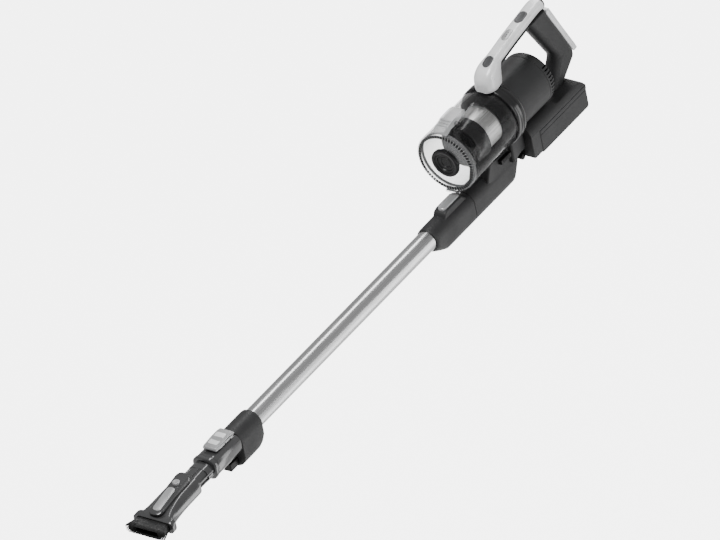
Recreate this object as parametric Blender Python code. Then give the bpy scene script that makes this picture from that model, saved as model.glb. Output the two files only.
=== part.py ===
"""Cordless stick vacuum with its wand and a sliding dusting brush.

The wand runs along Y with the brush at -Y and the handle at +Y, and +Z is the handle's side.
Sizes below are millimetres in the machine's own layout: Y = 0 is the lid of the dust cup and
Z = 0 is the axis that cup and motor share. One empty carries all of it, so that the middle of
the grip is the origin of the finished object. Meshes are made in metres.
"""
import math

import bmesh
import bpy
from mathutils import Matrix, Vector

MM = 0.001
GAP = 0.3            # left between pieces that touch

# grip centre, the origin of the finished object
GRIP_Y = 293.0
GRIP_Z = 38.0

# dust cup and lid
CUP_RADIUS = 52.8
CUP_WALL = 2.2
CUP_LENGTH = 121.0
LID_FRONT = -5.0
LID_BACK = 1.7
HUB_RADIUS = 24.7
LID_PIN = (0.0, -57.8)      # y, z of the lid's hinge pin
LATCH_PIN = (22.0, 61.0)     # y, z of the lid latch's pin
PORT = (88.0, 112.0, 11.0)   # first y, last y and half width of the port under the cup

# cyclone inside the cup
SHROUD_FRONT = 37.0
SHROUD_BACK = 65.0
MESH_RADIUS = 33.5
BASE_FRONT = 105.0

# collar, motor housing and motor
COLLAR_RADIUS = 54.4
COLLAR_BACK = 146.0
HOUSING_RADIUS = 46.0
HOUSING_WALL = 2.5
HOUSING_BACK = 222.0
COVER_BACK = 242.0
MOTOR_RADIUS = 30.0
SLOTS_PER_SIDE = 9

# wand
WAND_Z = -95.0
TUBE_RADIUS = 17.0
TUBE_WALL = 1.3
COUPLING = (-84.0, 21.0)     # first and last y
COUPLING_HALF = 20.0
COUPLING_DROP = 17.0         # how far the lower half circle's centre lies below the tube
SPIGOT_RADIUS = 15.9
SPIGOT_LENGTH = 51.0
BORE_RADIUS = 16.2
DUCT_RADIUS = 13.5
COLLAR_LOW = (-633.0, -576.0)
LOW_HALF = 21.5
LOW_DROP = 24.8
TUBE_END = -600.0

# dusting tool
NECK_HALF_WIDTH = 21.0
NECK_HALF_HEIGHT = 17.5
NECK_FRONT = -706.0
SLEEVE_BACK = -750.0
SLEEVE_MOUTH = -849.0
MOUTH_HALF_WIDTH = 35.5
MOUTH_HALF_HEIGHT = 9.5
MOUTH_DROP = 5.0             # how far the mouth's middle lies below the tube's axis
BRISTLE_END = -873.0

# battery
BATTERY = (187.0, 320.0)
BATTERY_HALF = 38.0
BATTERY_TOP = -63.2
BATTERY_BOTTOM = -106.0
DOCK_BOTTOM = -101.0
SHOULDER = 19.0              # radius of the dock's two upper edges
CELL_Z = -88.5
CELL_RADIUS = 9.2
CELL_LENGTH = 65.0
CELL_COUNT = 6

# handle: the bar's centre line as (y, z), its half width and half height
BAR_LINE = ((156.0, 88.7), (178.0, 93.2), (200.0, 97.6), (230.0, 102.0), (262.0, 106.6), (274.0, 107.6),
            (284.0, 106.4))
BAR_HALF_WIDTH = 12.5
BAR_HALF_HEIGHT = 8.8
GRIP_HALF_WIDTH = 14.5
POWER_Y = 238.0
LENS_Y = 198.0
MODE_Y = 140.0


def clear_scene():
    for obj in list(bpy.data.objects):
        bpy.data.objects.remove(obj, do_unlink=True)


def make_frame():
    frame = bpy.data.objects.new("machine_frame", None)
    bpy.context.collection.objects.link(frame)
    frame.location = (0.0, -GRIP_Y * MM, -GRIP_Z * MM)
    return frame


def finish(name, colour, roughness, metallic=0.0, alpha=1.0):
    material = bpy.data.materials.new(name)
    material.use_nodes = True
    shader = material.node_tree.nodes["Principled BSDF"]
    shader.inputs["Base Color"].default_value = (*colour, 1.0)
    shader.inputs["Roughness"].default_value = roughness
    shader.inputs["Metallic"].default_value = metallic
    shader.inputs["Alpha"].default_value = alpha
    return material


# ------------------------------------------------------------------ shapes

def add_object(name, bm, material, pivot=(0.0, 0.0, 0.0)):
    """Turn a bmesh in millimetres into an object whose origin is at the pivot."""
    bmesh.ops.recalc_face_normals(bm, faces=bm.faces)
    bmesh.ops.translate(bm, verts=bm.verts, vec=-Vector(pivot))
    bmesh.ops.scale(bm, verts=bm.verts, vec=(MM, MM, MM))
    mesh = bpy.data.meshes.new(name)
    bm.to_mesh(mesh)
    bm.free()
    mesh.shade_smooth()
    mesh.set_sharp_from_angle(angle=math.radians(32))
    mesh.materials.append(material)
    obj = bpy.data.objects.new(name, mesh)
    bpy.context.collection.objects.link(obj)
    obj.parent = FRAME
    obj.location = Vector(pivot) * MM
    return obj


def turned(name, profile, material, centre=(0.0, 0.0, 0.0), axis="Y", steps=40, pivot=None):
    """Spin a closed outline of (radius, distance along the axis) about an axis through centre."""
    bm = bmesh.new()
    verts = [bm.verts.new((radius, along, 0.0)) for radius, along in profile]
    edges = []
    for first, second in zip(verts, verts[1:] + verts[:1]):
        if first.co.x > 0.0 or second.co.x > 0.0:
            edges.append(bm.edges.new((first, second)))
    bmesh.ops.spin(bm, geom=verts + edges, cent=(0, 0, 0), axis=(0, 1, 0), angle=math.tau,
                   steps=steps, use_merge=True)
    bmesh.ops.remove_doubles(bm, verts=bm.verts, dist=0.001)
    turn = {"X": Matrix.Rotation(-math.pi / 2, 4, "Z"), "Z": Matrix.Rotation(math.pi / 2, 4, "X")}
    if axis in turn:
        bm.transform(turn[axis])
    bmesh.ops.translate(bm, verts=bm.verts, vec=centre)
    return add_object(name, bm, material, pivot or centre)


def disc(radius, start, end):
    return [(0.0, start), (radius, start), (radius, end), (0.0, end)]


def ring(outer, inner, start, end):
    return [(outer, start), (outer, end), (inner, end), (inner, start)]


def lofted(name, rings, material, pivot=(0.0, 0.0, 0.0), closed=False):
    """Skin matching rings of points; the ends are capped, or joined when the loft is closed."""
    bm = bmesh.new()
    loops = [[bm.verts.new(point) for point in points] for points in rings]
    pairs = list(zip(loops, loops[1:]))
    if closed:
        pairs.append((loops[-1], loops[0]))
    else:
        bm.faces.new(loops[0])
        bm.faces.new(loops[-1][::-1])
    for near, far in pairs:
        count = len(near)
        for i in range(count):
            j = (i + 1) % count
            bm.faces.new((near[i], near[j], far[j], far[i]))
    return add_object(name, bm, material, pivot)


def plate(name, outline, half_width, material, bevel=0.0, segments=2, pivot=(0.0, 0.0, 0.0), mid=0.0):
    """Extrude an outline of (y, z) points across X, with rounded edges."""
    bm = bmesh.new()
    face = bm.faces.new([bm.verts.new((mid - half_width, y, z)) for y, z in outline])
    side = bmesh.ops.extrude_face_region(bm, geom=[face])["geom"]
    moved = [item for item in side if isinstance(item, bmesh.types.BMVert)]
    bmesh.ops.translate(bm, verts=moved, vec=(2 * half_width, 0, 0))
    if bevel:
        bmesh.ops.recalc_face_normals(bm, faces=bm.faces)
        bmesh.ops.bevel(bm, geom=bm.edges[:], offset=bevel, segments=segments, profile=0.5,
                        affect="EDGES", clamp_overlap=True)
    return add_object(name, bm, material, pivot)


def block(name, low, high, material, bevel=0.0, segments=2, pivot=None):
    outline = [(low[1], low[2]), (high[1], low[2]), (high[1], high[2]), (low[1], high[2])]
    middle = tuple((a + b) / 2 for a, b in zip(low, high))
    half = (high[0] - low[0]) / 2
    return plate(name, outline, half, material, bevel, segments, pivot or middle, mid=middle[0])


def oval(y, z, half_length, half_width, low, high, tilt, steps=6):
    """Two rings of an oval lying along the bar, from low to high above its surface at (y, z)."""
    rings = []
    straight = half_length - half_width
    for level in (low, high):
        points = []
        for end, start in ((1, -math.pi / 2), (-1, math.pi / 2)):
            for i in range(steps + 1):
                angle = start + math.pi * i / steps
                along = end * straight + half_width * math.cos(angle)
                across = half_width * math.sin(angle)
                points.append((across, y + along * math.cos(tilt) - level * math.sin(tilt),
                               z + along * math.sin(tilt) + level * math.cos(tilt)))
        rings.append(points)
    return rings


def obround(half_width, top, bottom, y, shear=0.0, steps=10):
    """A ring made of an upper and a lower half circle joined by straight sides."""
    points = []
    for centre, start in ((top, 0.0), (bottom, math.pi)):
        for i in range(steps + 1):
            angle = start + math.pi * i / steps
            z = centre + half_width * math.sin(angle)
            points.append((half_width * math.cos(angle), y + shear * (z - bottom), z))
    return points


def rounded_ring(half_width, low, high, radius, y, lean=0.0, corner=3):
    """A rounded rectangle across Y; lean moves its upper points along Y."""
    points = []
    centres = ((1, 1, 0.0), (-1, 1, 0.5), (-1, -1, 1.0), (1, -1, 1.5))
    middle = (low + high) / 2
    for sx, sz, start in centres:
        for i in range(corner + 1):
            angle = math.pi * (start + 0.5 * i / corner)
            x = sx * (half_width - radius) + radius * math.cos(angle)
            z = (high - radius if sz > 0 else low + radius) + radius * math.sin(angle)
            points.append((x, y + lean * (z - middle), z))
    return points


def shape(obj, other, operation):
    """Join to, or cut from, obj the shape of another object, which is then only a guide."""
    boolean = obj.modifiers.new(operation.lower(), "BOOLEAN")
    boolean.operation = operation
    boolean.solver = "EXACT"
    boolean.object = other
    other.hide_render = True
    other.display_type = "WIRE"


def cut(obj, *others):
    for other in others:
        shape(obj, other, "DIFFERENCE")


def join(obj, *others):
    for other in others:
        shape(obj, other, "UNION")


def bar_height(y):
    """Height of the bar's centre line, read between its points."""
    for (y0, z0), (y1, z1) in zip(BAR_LINE, BAR_LINE[1:]):
        if y <= y1:
            return z0 + (z1 - z0) * (y - y0) / (y1 - y0)
    return BAR_LINE[-1][1]


def bar_tilt(y):
    return math.atan2(bar_height(y + 5) - bar_height(y - 5), 10.0)


# ------------------------------------------------------------------ dust cup

def make_cup():
    inner = CUP_RADIUS - CUP_WALL
    cup = turned("dust_cup", ring(CUP_RADIUS, inner, 2.0, CUP_LENGTH), CLEAR, steps=36)
    pin_y, pin_z = LID_PIN
    for side in (-1, 1):
        knuckle = turned(f"knuckle_{side}", ring(3.8, 1.8, -2.8, 2.8), CLEAR, axis="X", steps=16,
                         centre=(side * 9.2, pin_y, pin_z))
        web = block(f"knuckle_web_{side}", (side * 9.2 - 2.8, 2.1, pin_z - 3.0),
                    (side * 9.2 + 2.8, 9.0, -51.2), CLEAR)
        ear_low = (side * 13.6 - 1.6, LATCH_PIN[0] - 5.0, CUP_RADIUS - 3.4)
        ear_high = (side * 13.6 + 1.6, LATCH_PIN[0] + 5.0, LATCH_PIN[1] + 3.5)
        ear = block(f"latch_ear_{side}", ear_low, ear_high, CLEAR)
        join(cup, knuckle, web, ear)
    first, last, half = PORT
    port = block("cup_port_cutter", (-half, first, -60.0), (half, last, -40.0), CLEAR)
    pin_hole = turned("latch_pin_cutter", disc(1.4, -20.0, 20.0), CLEAR, axis="X", steps=12,
                      centre=(0.0, *LATCH_PIN))
    cut(cup, port, pin_hole)


def make_lid():
    pin = (0.0, *LID_PIN)
    profile = [(21.3, -3.0), (43.0, -3.0), (46.0, LID_FRONT), (CUP_RADIUS, LID_FRONT),
               (CUP_RADIUS, LID_BACK), (47.6, LID_BACK), (47.6, -1.0), (21.3, -1.0)]
    lid = turned("cup_lid", profile, CLEAR, steps=36, pivot=pin)
    knuckle = turned("lid_knuckle", ring(3.8, 1.8, -6.0, 6.0), CLEAR, axis="X", steps=16, centre=pin)
    web = block("lid_knuckle_web", (-6.0, LID_FRONT + 0.5, LID_PIN[1] + 2.2), (6.0, LID_BACK - 0.8, -50.0),
                CLEAR)
    join(lid, knuckle, web)
    turned("lid_seal", ring(50.2, 47.8, LID_BACK + GAP, 6.0), RUBBER, steps=40, pivot=pin)
    hub = [(0.0, -6.6), (17.0, -6.6), (19.5, -8.6), (HUB_RADIUS - 1.5, -8.6), (HUB_RADIUS, -7.2),
           (HUB_RADIUS, -3.3), (21.0, -3.3), (21.0, 3.0), (17.0, 3.0), (17.0, -4.0), (0.0, -4.0)]
    turned("lid_hub", hub, BLACK, steps=32, pivot=pin)
    turned("lid_hinge_pin", disc(1.5, -12.4, 12.4), STEEL, axis="X", steps=12, centre=pin)


def make_lid_latch():
    pin = (0.0, *LATCH_PIN)
    outline = [(-6.5, 53.6), (2.0, 53.6), (8.0, 57.0), (28.0, 57.0), (50.0, 63.0), (51.0, 68.0),
               (40.0, 70.5), (16.0, 70.0), (-4.0, 64.0), (-7.0, 58.5)]
    latch = plate("lid_latch", outline, 11.6, CLEAR, bevel=0.8, segments=1, pivot=pin)
    hole = turned("latch_bore_cutter", disc(1.5, -15.0, 15.0), CLEAR, axis="X", steps=12, centre=pin)
    cut(latch, hole)
    turned("lid_latch_pin", disc(1.1, -15.0, 15.0), STEEL, axis="X", steps=12, centre=pin)


def make_cyclone():
    shroud = [(0.0, SHROUD_FRONT), (36.0, SHROUD_FRONT), (38.4, SHROUD_BACK), (36.4, SHROUD_BACK),
              (34.4, SHROUD_FRONT + 2.2), (0.0, SHROUD_FRONT + 2.2)]
    turned("cyclone_shroud", shroud, DARK_GLOSS, steps=32)
    turned("mesh_filter", ring(MESH_RADIUS, MESH_RADIUS - 1.2, 46.0, BASE_FRONT - GAP), MESH_STEEL, steps=32)
    cone = [(12.0, 42.0), (25.5, BASE_FRONT - GAP), (24.0, BASE_FRONT - GAP), (10.6, 42.0)]
    turned("cyclone_cone", cone, DARK_PLASTIC, steps=32)
    base = [(20.0, BASE_FRONT), (35.0, BASE_FRONT), (50.2, BASE_FRONT + 9.0), (50.2, CUP_LENGTH - GAP),
            (20.0, CUP_LENGTH - GAP)]
    turned("cyclone_base", base, DARK_GLOSS, steps=36)


# ------------------------------------------------------------------ collar, motor and housing

def make_collar_and_filter():
    start = CUP_LENGTH + GAP
    profile = [(53.2, start), (COLLAR_RADIUS, start + 1.2), (COLLAR_RADIUS, start + 9.0),
               (53.0, start + 10.0), (53.0, start + 12.0), (COLLAR_RADIUS, start + 13.0),
               (COLLAR_RADIUS, COLLAR_BACK - 4.0), (50.5, COLLAR_BACK), (43.8, COLLAR_BACK),
               (43.8, COLLAR_BACK - 6.0), (44.6, COLLAR_BACK - 6.0), (44.6, start)]
    turned("housing_collar", profile, DARK_GLOSS, steps=36)
    turned("premotor_filter", disc(43.6, start + 1.0, COLLAR_BACK - 8.0), FOAM, steps=32)


def slot_cutters():
    """Radial slots through the side of the rear cover, in a band on each side."""
    cutters = []
    for side in (-1, 1):
        for i in range(SLOTS_PER_SIDE):
            angle = math.radians(48.0 + i * 7.6)
            bm = bmesh.new()
            bmesh.ops.create_cube(bm, size=1.0)
            bmesh.ops.scale(bm, verts=bm.verts, vec=(2.4, 12.0, 12.0))
            bmesh.ops.translate(bm, verts=bm.verts, vec=(0.0, 232.0, HOUSING_RADIUS - 1.0))
            bmesh.ops.rotate(bm, verts=bm.verts, cent=(0, 0, 0),
                             matrix=Matrix.Rotation(side * angle, 3, "Y"))
            cutters.append(add_object(f"slot_{side}_{i}", bm, DARK_PLASTIC))
    return cutters


def make_housing():
    inner = HOUSING_RADIUS - HOUSING_WALL
    start = COLLAR_BACK + GAP
    turned("motor_housing", ring(HOUSING_RADIUS, inner, start, HOUSING_BACK), DARK_PLASTIC, steps=36)
    front = HOUSING_BACK + GAP
    profile = [(HOUSING_RADIUS, front), (HOUSING_RADIUS, 227.0), (45.0, 233.0), (42.0, 237.6),
               (37.0, 240.6), (30.0, COVER_BACK), (0.0, COVER_BACK), (0.0, COVER_BACK - 2.5),
               (29.5, COVER_BACK - 2.5), (40.2, 235.6), (inner, 227.0), (inner, front)]
    cover = turned("rear_cover", profile, DARK_PLASTIC, steps=36)
    cut(cover, *slot_cutters())
    turned("exhaust_filter", ring(41.5, 16.0, 209.0, 220.0), FILTER_PAPER, steps=32)


def make_impeller():
    """Seven curved blades around a hub, as one extruded star."""
    blades = 7
    points = []
    for blade in range(blades):
        base = math.tau * blade / blades
        for radius, offset in ((9.0, -0.20), (9.0, 0.10), (16.0, 0.34), (24.5, 0.52), (25.0, 0.60), (15.0, 0.48)):
            points.append((radius, base + offset))
    rings = []
    for y in (150.0, 160.0):
        rings.append([(r * math.cos(a), y, r * math.sin(a)) for r, a in points])
    fan = lofted("impeller", rings, ALUMINIUM)
    bore = turned("impeller_bore_cutter", disc(2.8, 140.0, 170.0), ALUMINIUM, steps=16)
    cut(fan, bore)


def make_motor():
    can = [(MOTOR_RADIUS, 163.0), (MOTOR_RADIUS, 205.0), (5.9, 205.0), (5.9, 203.0),
           (MOTOR_RADIUS - 2.0, 203.0), (MOTOR_RADIUS - 2.0, 165.0), (5.9, 165.0), (5.9, 163.0)]
    turned("motor_can", can, MOTOR_STEEL, steps=32)
    turned("stator", ring(27.6, 15.4, 170.0, 198.0), COPPER, steps=32)
    rotor = [(0.0, 148.0), (2.5, 148.0), (2.5, 171.0), (14.6, 171.0), (14.6, 197.0), (2.5, 197.0),
             (2.5, 207.0), (0.0, 207.0)]
    turned("motor_rotor", rotor, STEEL, steps=24)
    turned("front_bearing", ring(5.6, 2.8, 163.0, 166.5), STEEL, steps=20)
    turned("rear_bearing", ring(5.6, 2.8, 201.5, 205.0), STEEL, steps=20)
    turned("motor_mount", ring(43.2, MOTOR_RADIUS + GAP, 178.0, 186.0), RUBBER, steps=32)
    make_impeller()


# ------------------------------------------------------------------ main body, dock and battery

def clearance(name, radius, start, end):
    return turned(name, disc(radius, start, end), DARK_PLASTIC, steps=48)


def make_main_body():
    """Inlet duct under the cup, the neck that carries it and the port up into the cup."""
    front = COUPLING[1] + GAP
    lower = WAND_Z - COUPLING_DROP
    slope = 0.52
    rings = [obround(COUPLING_HALF, WAND_Z, lower, front),
             obround(COUPLING_HALF, WAND_Z, lower, 134.0, shear=slope)]
    body = lofted("main_body", rings, DARK_PLASTIC)
    neck = [(62.0, -84.0), (74.0, -60.0), (84.0, -44.0), (163.0, -32.0), (163.0, -81.6), (148.0, -81.6),
            (120.0, -96.0), (80.0, -92.0)]
    column = [(127.0, -88.0), (147.0, -80.4), (162.4, -80.4), (162.4, -35.0), (127.0, -35.0)]
    join(body, plate("neck_guide", neck, 18.6, DARK_PLASTIC, bevel=3.0),
         plate("column_guide", column, 26.0, DARK_PLASTIC, bevel=4.0))
    cut(body, clearance("cup_clearance", CUP_RADIUS + 0.5, -20.0, CUP_LENGTH + 0.2),
        clearance("collar_clearance", COLLAR_RADIUS + GAP, CUP_LENGTH, COLLAR_BACK + GAP),
        clearance("housing_clearance", HOUSING_RADIUS + GAP, COLLAR_BACK, COVER_BACK))
    first, last, half = PORT
    duct = turned("duct_cutter", disc(BORE_RADIUS, 0.0, last), DARK_PLASTIC, centre=(0, 0, WAND_Z), steps=24)
    riser = block("riser_cutter", (-half, first, WAND_Z), (half, last, -40.0), DARK_PLASTIC)
    recess = block("release_recess_cutter", (14.0, 97.5, -70.5), (30.0, 124.5, -61.5), DARK_PLASTIC)
    cut(body, duct, riser, recess)
    block("cup_release_button", (17.0, 98.0, -70.0), (25.0, 124.0, -62.0), BLACK, bevel=1.2, segments=2)
    boss = [(0.0, -21.5), (4.3, -21.5), (5.5, -20.0), (5.5, 20.0), (4.3, 21.5), (0.0, 21.5)]
    turned("dock_boss", boss, BLACK, axis="X", centre=(0.0, 157.5, -95.5), steps=24)


def shoulder_cutter(name, side):
    """What lies outside the dock's rounded shoulder on one side."""
    section = [(BATTERY_HALF + 10.0, -62.0)]
    for i in range(9):
        angle = math.pi / 2 * i / 8
        section.append((BATTERY_HALF - SHOULDER * (1 - math.cos(angle)), -62.0 + SHOULDER * math.sin(angle)))
    section += [(BATTERY_HALF - SHOULDER, -20.0), (BATTERY_HALF + 10.0, -20.0)]
    return lofted(name, [[(side * x, y, z) for x, z in section] for y in (150.0, 330.0)], DARK_PLASTIC)


def make_dock():
    """Wide foot under the motor housing that the battery slides into."""
    floor = BATTERY_TOP + 0.5
    outline = [(163.4, DOCK_BOTTOM + 2.0), (168.0, DOCK_BOTTOM), (186.6, DOCK_BOTTOM), (186.6, floor), (317.0, floor),
               (313.5, -55.5), (306.0, -50.0), (244.0, -50.0), (236.0, -38.0), (163.4, -38.0)]
    dock = plate("battery_dock", outline, BATTERY_HALF, DARK_PLASTIC, bevel=1.6)
    cut(dock, shoulder_cutter("dock_shoulder_right", 1), shoulder_cutter("dock_shoulder_left", -1),
        clearance("dock_clearance", HOUSING_RADIUS + GAP, 150.0, COVER_BACK + GAP))
    block("battery_contacts", (-12.0, 186.9, -78.0), (12.0, 190.0, -70.0), BRASS)


def make_battery():
    first, last = BATTERY
    case = block("battery_case", (-BATTERY_HALF, first, BATTERY_BOTTOM), (BATTERY_HALF, last, BATTERY_TOP - 3.2),
                 DARK_PLASTIC, bevel=5.0, segments=3)
    bay_low = (-BATTERY_HALF + 2.4, first + 2.4, BATTERY_BOTTOM + 2.4)
    bay_high = (BATTERY_HALF - 2.4, last - 2.4, BATTERY_TOP + 5.0)
    button_low = (-9.0, last - 7.0, -90.0)
    button_high = (9.0, last + 7.0, -80.0)
    cut(case, block("case_trim", (-60, first - 20, BATTERY_TOP - 8.0), (60, last + 20, 0.0), DARK_PLASTIC),
        block("battery_bay", bay_low, bay_high, DARK_PLASTIC),
        block("battery_button_hole", button_low, button_high, DARK_PLASTIC))
    top = plate("battery_top", [(first, BATTERY_TOP - 7.7), (last, BATTERY_TOP - 7.7), (last, BATTERY_TOP - 2.0),
                                (last - 2.0, BATTERY_TOP), (first + 2.0, BATTERY_TOP), (first, BATTERY_TOP - 2.0)],
                BATTERY_HALF, DARK_PLASTIC, bevel=1.2, segments=1, pivot=(0, first, BATTERY_TOP))
    cut(top, block("battery_top_bay", (-33.0, first + 5.0, BATTERY_TOP - 12.0), (33.0, last - 5.0, BATTERY_TOP - 3.0),
                   DARK_PLASTIC),
        block("contact_slot", (-13.0, first - 5.0, BATTERY_TOP - 16.0), (13.0, first + 5.2, BATTERY_TOP - 5.5),
              DARK_PLASTIC))
    cut(case, block("case_contact_slot", (-13.0, first - 5.0, -79.0), (13.0, first + 5.0, -60.0), DARK_PLASTIC))
    for i in range(CELL_COUNT):
        y = first + 13.5 + i * (2 * CELL_RADIUS + 0.5)
        turned(f"cell_{i + 1}", disc(CELL_RADIUS, -CELL_LENGTH / 2, CELL_LENGTH / 2), CELL_WRAP, axis="X",
               centre=(0.0, y, CELL_Z), steps=14)
    block("battery_board", (-28.0, 305.5, -98.0), (28.0, 307.2, -75.0), BOARD)
    block("battery_release", (-8.6, last - 4.0, -89.6), (8.6, last + 1.6, -80.4), BLACK, bevel=1.0, segments=1)


# ------------------------------------------------------------------ handle

def nose_rings():
    """The bar swells where it stands on the collar: (y, half width, bottom, top)."""
    stations = ((111.0, 8.0, 50.0, 69.0), (114.0, 13.5, 50.0, 76.0), (121.0, 16.8, 50.0, 84.0),
                (130.0, 17.2, 44.0, 90.2), (140.0, 15.8, 40.0, 94.2), (150.0, 13.6, 50.0, 96.6))
    return [rounded_ring(half, low, high, min(7.0, half - 1.5), y) for y, half, low, high in stations]


def bar_rings(half_width, half_height, radius):
    return [rounded_ring(half_width, z - half_height, z + half_height, radius, y) for y, z in BAR_LINE]


def make_bar():
    rings = nose_rings() + bar_rings(BAR_HALF_WIDTH, BAR_HALF_HEIGHT, 7.0)
    bar = lofted("handle_bar", rings, PEARL)
    inside = [rounded_ring(8.6, z - 16.0, z + 4.0, 1.5, y) for y, z in BAR_LINE[1:5]]
    cut(bar, lofted("bar_channel_cutter", inside, PEARL),
        clearance("nose_clearance", COLLAR_RADIUS + GAP, 100.0, COLLAR_BACK + GAP),
        clearance("nose_housing_clearance", HOUSING_RADIUS + GAP, COLLAR_BACK, 200.0))
    liner = []
    for y in (158.0, 172.0, 190.0, 210.0, 228.0, 242.0):
        low = bar_height(y) - BAR_HALF_HEIGHT
        liner.append(rounded_ring(10.4, low - 4.2, low - GAP, 1.6, y))
    lofted("handle_liner", liner, DARK_PLASTIC)
    board = [rounded_ring(7.6, bar_height(y) - 3.6, bar_height(y) - 2.0, 0.5, y, corner=1)
             for y in (186.0, 215.0, 250.0)]
    lofted("control_board", board, BOARD)
    end_y, end_z = BAR_LINE[-1]
    cap = []
    for y, inset in ((end_y + GAP, 0.0), (end_y + 3.5, 0.4), (end_y + 6.0, 3.0)):
        half = BAR_HALF_HEIGHT - inset
        cap.append(rounded_ring(BAR_HALF_WIDTH - inset, end_z - half, end_z + half, 7.0 - inset, y))
    lofted("handle_end_cap", cap, BLACK)
    return bar


def make_buttons(bar):
    top = BAR_HALF_HEIGHT
    specs = (("power_button", POWER_Y, 13.0, 7.0, bar_height(POWER_Y) + top, DARK_GLOSS, 8.0),
             ("mode_button", MODE_Y, 11.0, 7.0, 94.0, DARK_GLOSS, 5.0))
    for name, y, half_length, half_width, surface, material, depth in specs:
        tilt = bar_tilt(y) if y > 150 else math.radians(17.0)
        hole = lofted(name + "_hole", oval(y, surface, half_length + 0.4, half_width + 0.4, -depth, 8.0, tilt), PEARL)
        cut(bar, hole)
        lofted(name, oval(y, surface, half_length, half_width, 2.4 - depth, 1.0, tilt), material,
               pivot=(0.0, y, surface))
    tilt = bar_tilt(LENS_Y)
    surface = bar_height(LENS_Y) + top
    cut(bar, lofted("lens_recess", oval(LENS_Y, surface, 12.4, 6.0, -1.4, 5.0, tilt), PEARL))
    lofted("display_lens", oval(LENS_Y, surface, 12.0, 5.6, -1.1, 0.2, tilt), BLACK)


def make_grip():
    """Dark grip whose foot stands on the dock, with a pale strip down its back."""
    outline = [(240.0, 94.0), (291.5, 3.0), (287.5, -14.0), (258.4, -60.0), (292.4, -60.0), (341.5, -22.5),
               (318.0, 32.0), (291.5, 87.5), (286.0, 104.0), (256.0, 104.0)]
    grip = plate("grip", outline, GRIP_HALF_WIDTH, DARK_PLASTIC, bevel=8.0, segments=4)
    under_liner = BAR_HALF_HEIGHT + 4.6
    under_bar = BAR_HALF_HEIGHT + 0.4
    trim = [(200.0, bar_height(200.0) - under_liner), (242.5, bar_height(242.5) - under_liner),
            (243.0, bar_height(243.0) - under_bar), (262.0, bar_height(262.0) - under_bar),
            (284.0, bar_height(284.0) - under_bar), (330.0, bar_height(284.0) - under_bar),
            (330.0, 130.0), (200.0, 130.0)]
    cut(grip, plate("grip_trim", trim, 30.0, DARK_PLASTIC),
        block("grip_foot_trim", (-30.0, 240.0, -80.0), (30.0, 330.0, -49.7), DARK_PLASTIC))
    strip = [(297.4, 92.6), (293.0, 92.6), (292.2, 87.6), (318.6, 32.2), (342.6, -19.0), (348.0, -18.0), (344.0, -8.0),
             (324.0, 34.0)]
    plate("grip_back_strip", strip, 10.5, PEARL, bevel=1.4, segments=2)


# ------------------------------------------------------------------ wand

def make_coupling():
    first, last = COUPLING
    lower = WAND_Z - COUPLING_DROP
    rings = [obround(COUPLING_HALF - 1.0, WAND_Z, WAND_Z - 2.0, first),
             obround(COUPLING_HALF, WAND_Z, WAND_Z - 5.0, first + 6.0),
             obround(COUPLING_HALF, WAND_Z, lower, first + 30.0),
             obround(COUPLING_HALF, WAND_Z, lower, last)]
    coupling = lofted("wand_coupling", rings, DARK_PLASTIC)
    spigot = turned("spigot_guide", disc(SPIGOT_RADIUS, last - 5.0, last + SPIGOT_LENGTH), DARK_PLASTIC,
                    centre=(0, 0, WAND_Z), steps=24)
    boss = [(-48.0, WAND_Z + 16.0), (-43.0, WAND_Z + 25.5), (-38.0, WAND_Z + 28.0), (4.0, WAND_Z + 28.0),
            (14.0, WAND_Z + 18.0), (14.0, WAND_Z + 10.0), (-48.0, WAND_Z + 10.0)]
    join(coupling, spigot, plate("release_boss_guide", boss, 11.5, DARK_PLASTIC, bevel=2.0))
    bore_profile = [(0.0, first - 5.0), (TUBE_RADIUS + GAP, first - 5.0), (TUBE_RADIUS + GAP, -22.0),
                    (DUCT_RADIUS, -22.0), (DUCT_RADIUS, 90.0), (0.0, 90.0)]
    bore = turned("tube_bore", bore_profile, DARK_PLASTIC, centre=(0, 0, WAND_Z), steps=28)
    well = block("release_well", (-8.4, -40.5, WAND_Z + 19.0), (8.4, 6.5, WAND_Z + 40.0), DARK_PLASTIC)
    cut(coupling, bore, well)
    pin = (0.0, -12.0, WAND_Z + 23.0)
    outline = [(-40.0, WAND_Z + 23.5), (-20.0, WAND_Z + 20.2), (-4.0, WAND_Z + 20.2), (6.0, WAND_Z + 23.5),
               (6.0, WAND_Z + 28.0), (0.0, WAND_Z + 30.6), (-30.0, WAND_Z + 30.6), (-40.0, WAND_Z + 28.0)]
    button = plate("wand_release_button", outline, 8.0, PEARL, bevel=1.2, segments=2, pivot=pin)
    cut(button, turned("release_pin_bore", disc(1.5, -12.0, 12.0), PEARL, axis="X", centre=pin, steps=12))
    cut(coupling, turned("release_pin_seat", disc(1.4, -10.6, 10.6), PEARL, axis="X", centre=pin, steps=12))
    turned("wand_release_pin", disc(1.1, -10.2, 10.2), STEEL, axis="X", centre=pin, steps=12)


def make_tube():
    turned("wand_tube", ring(TUBE_RADIUS, TUBE_RADIUS - TUBE_WALL, TUBE_END + GAP, -22.5), ALUMINIUM,
           centre=(0, 0, WAND_Z), steps=32)


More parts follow.
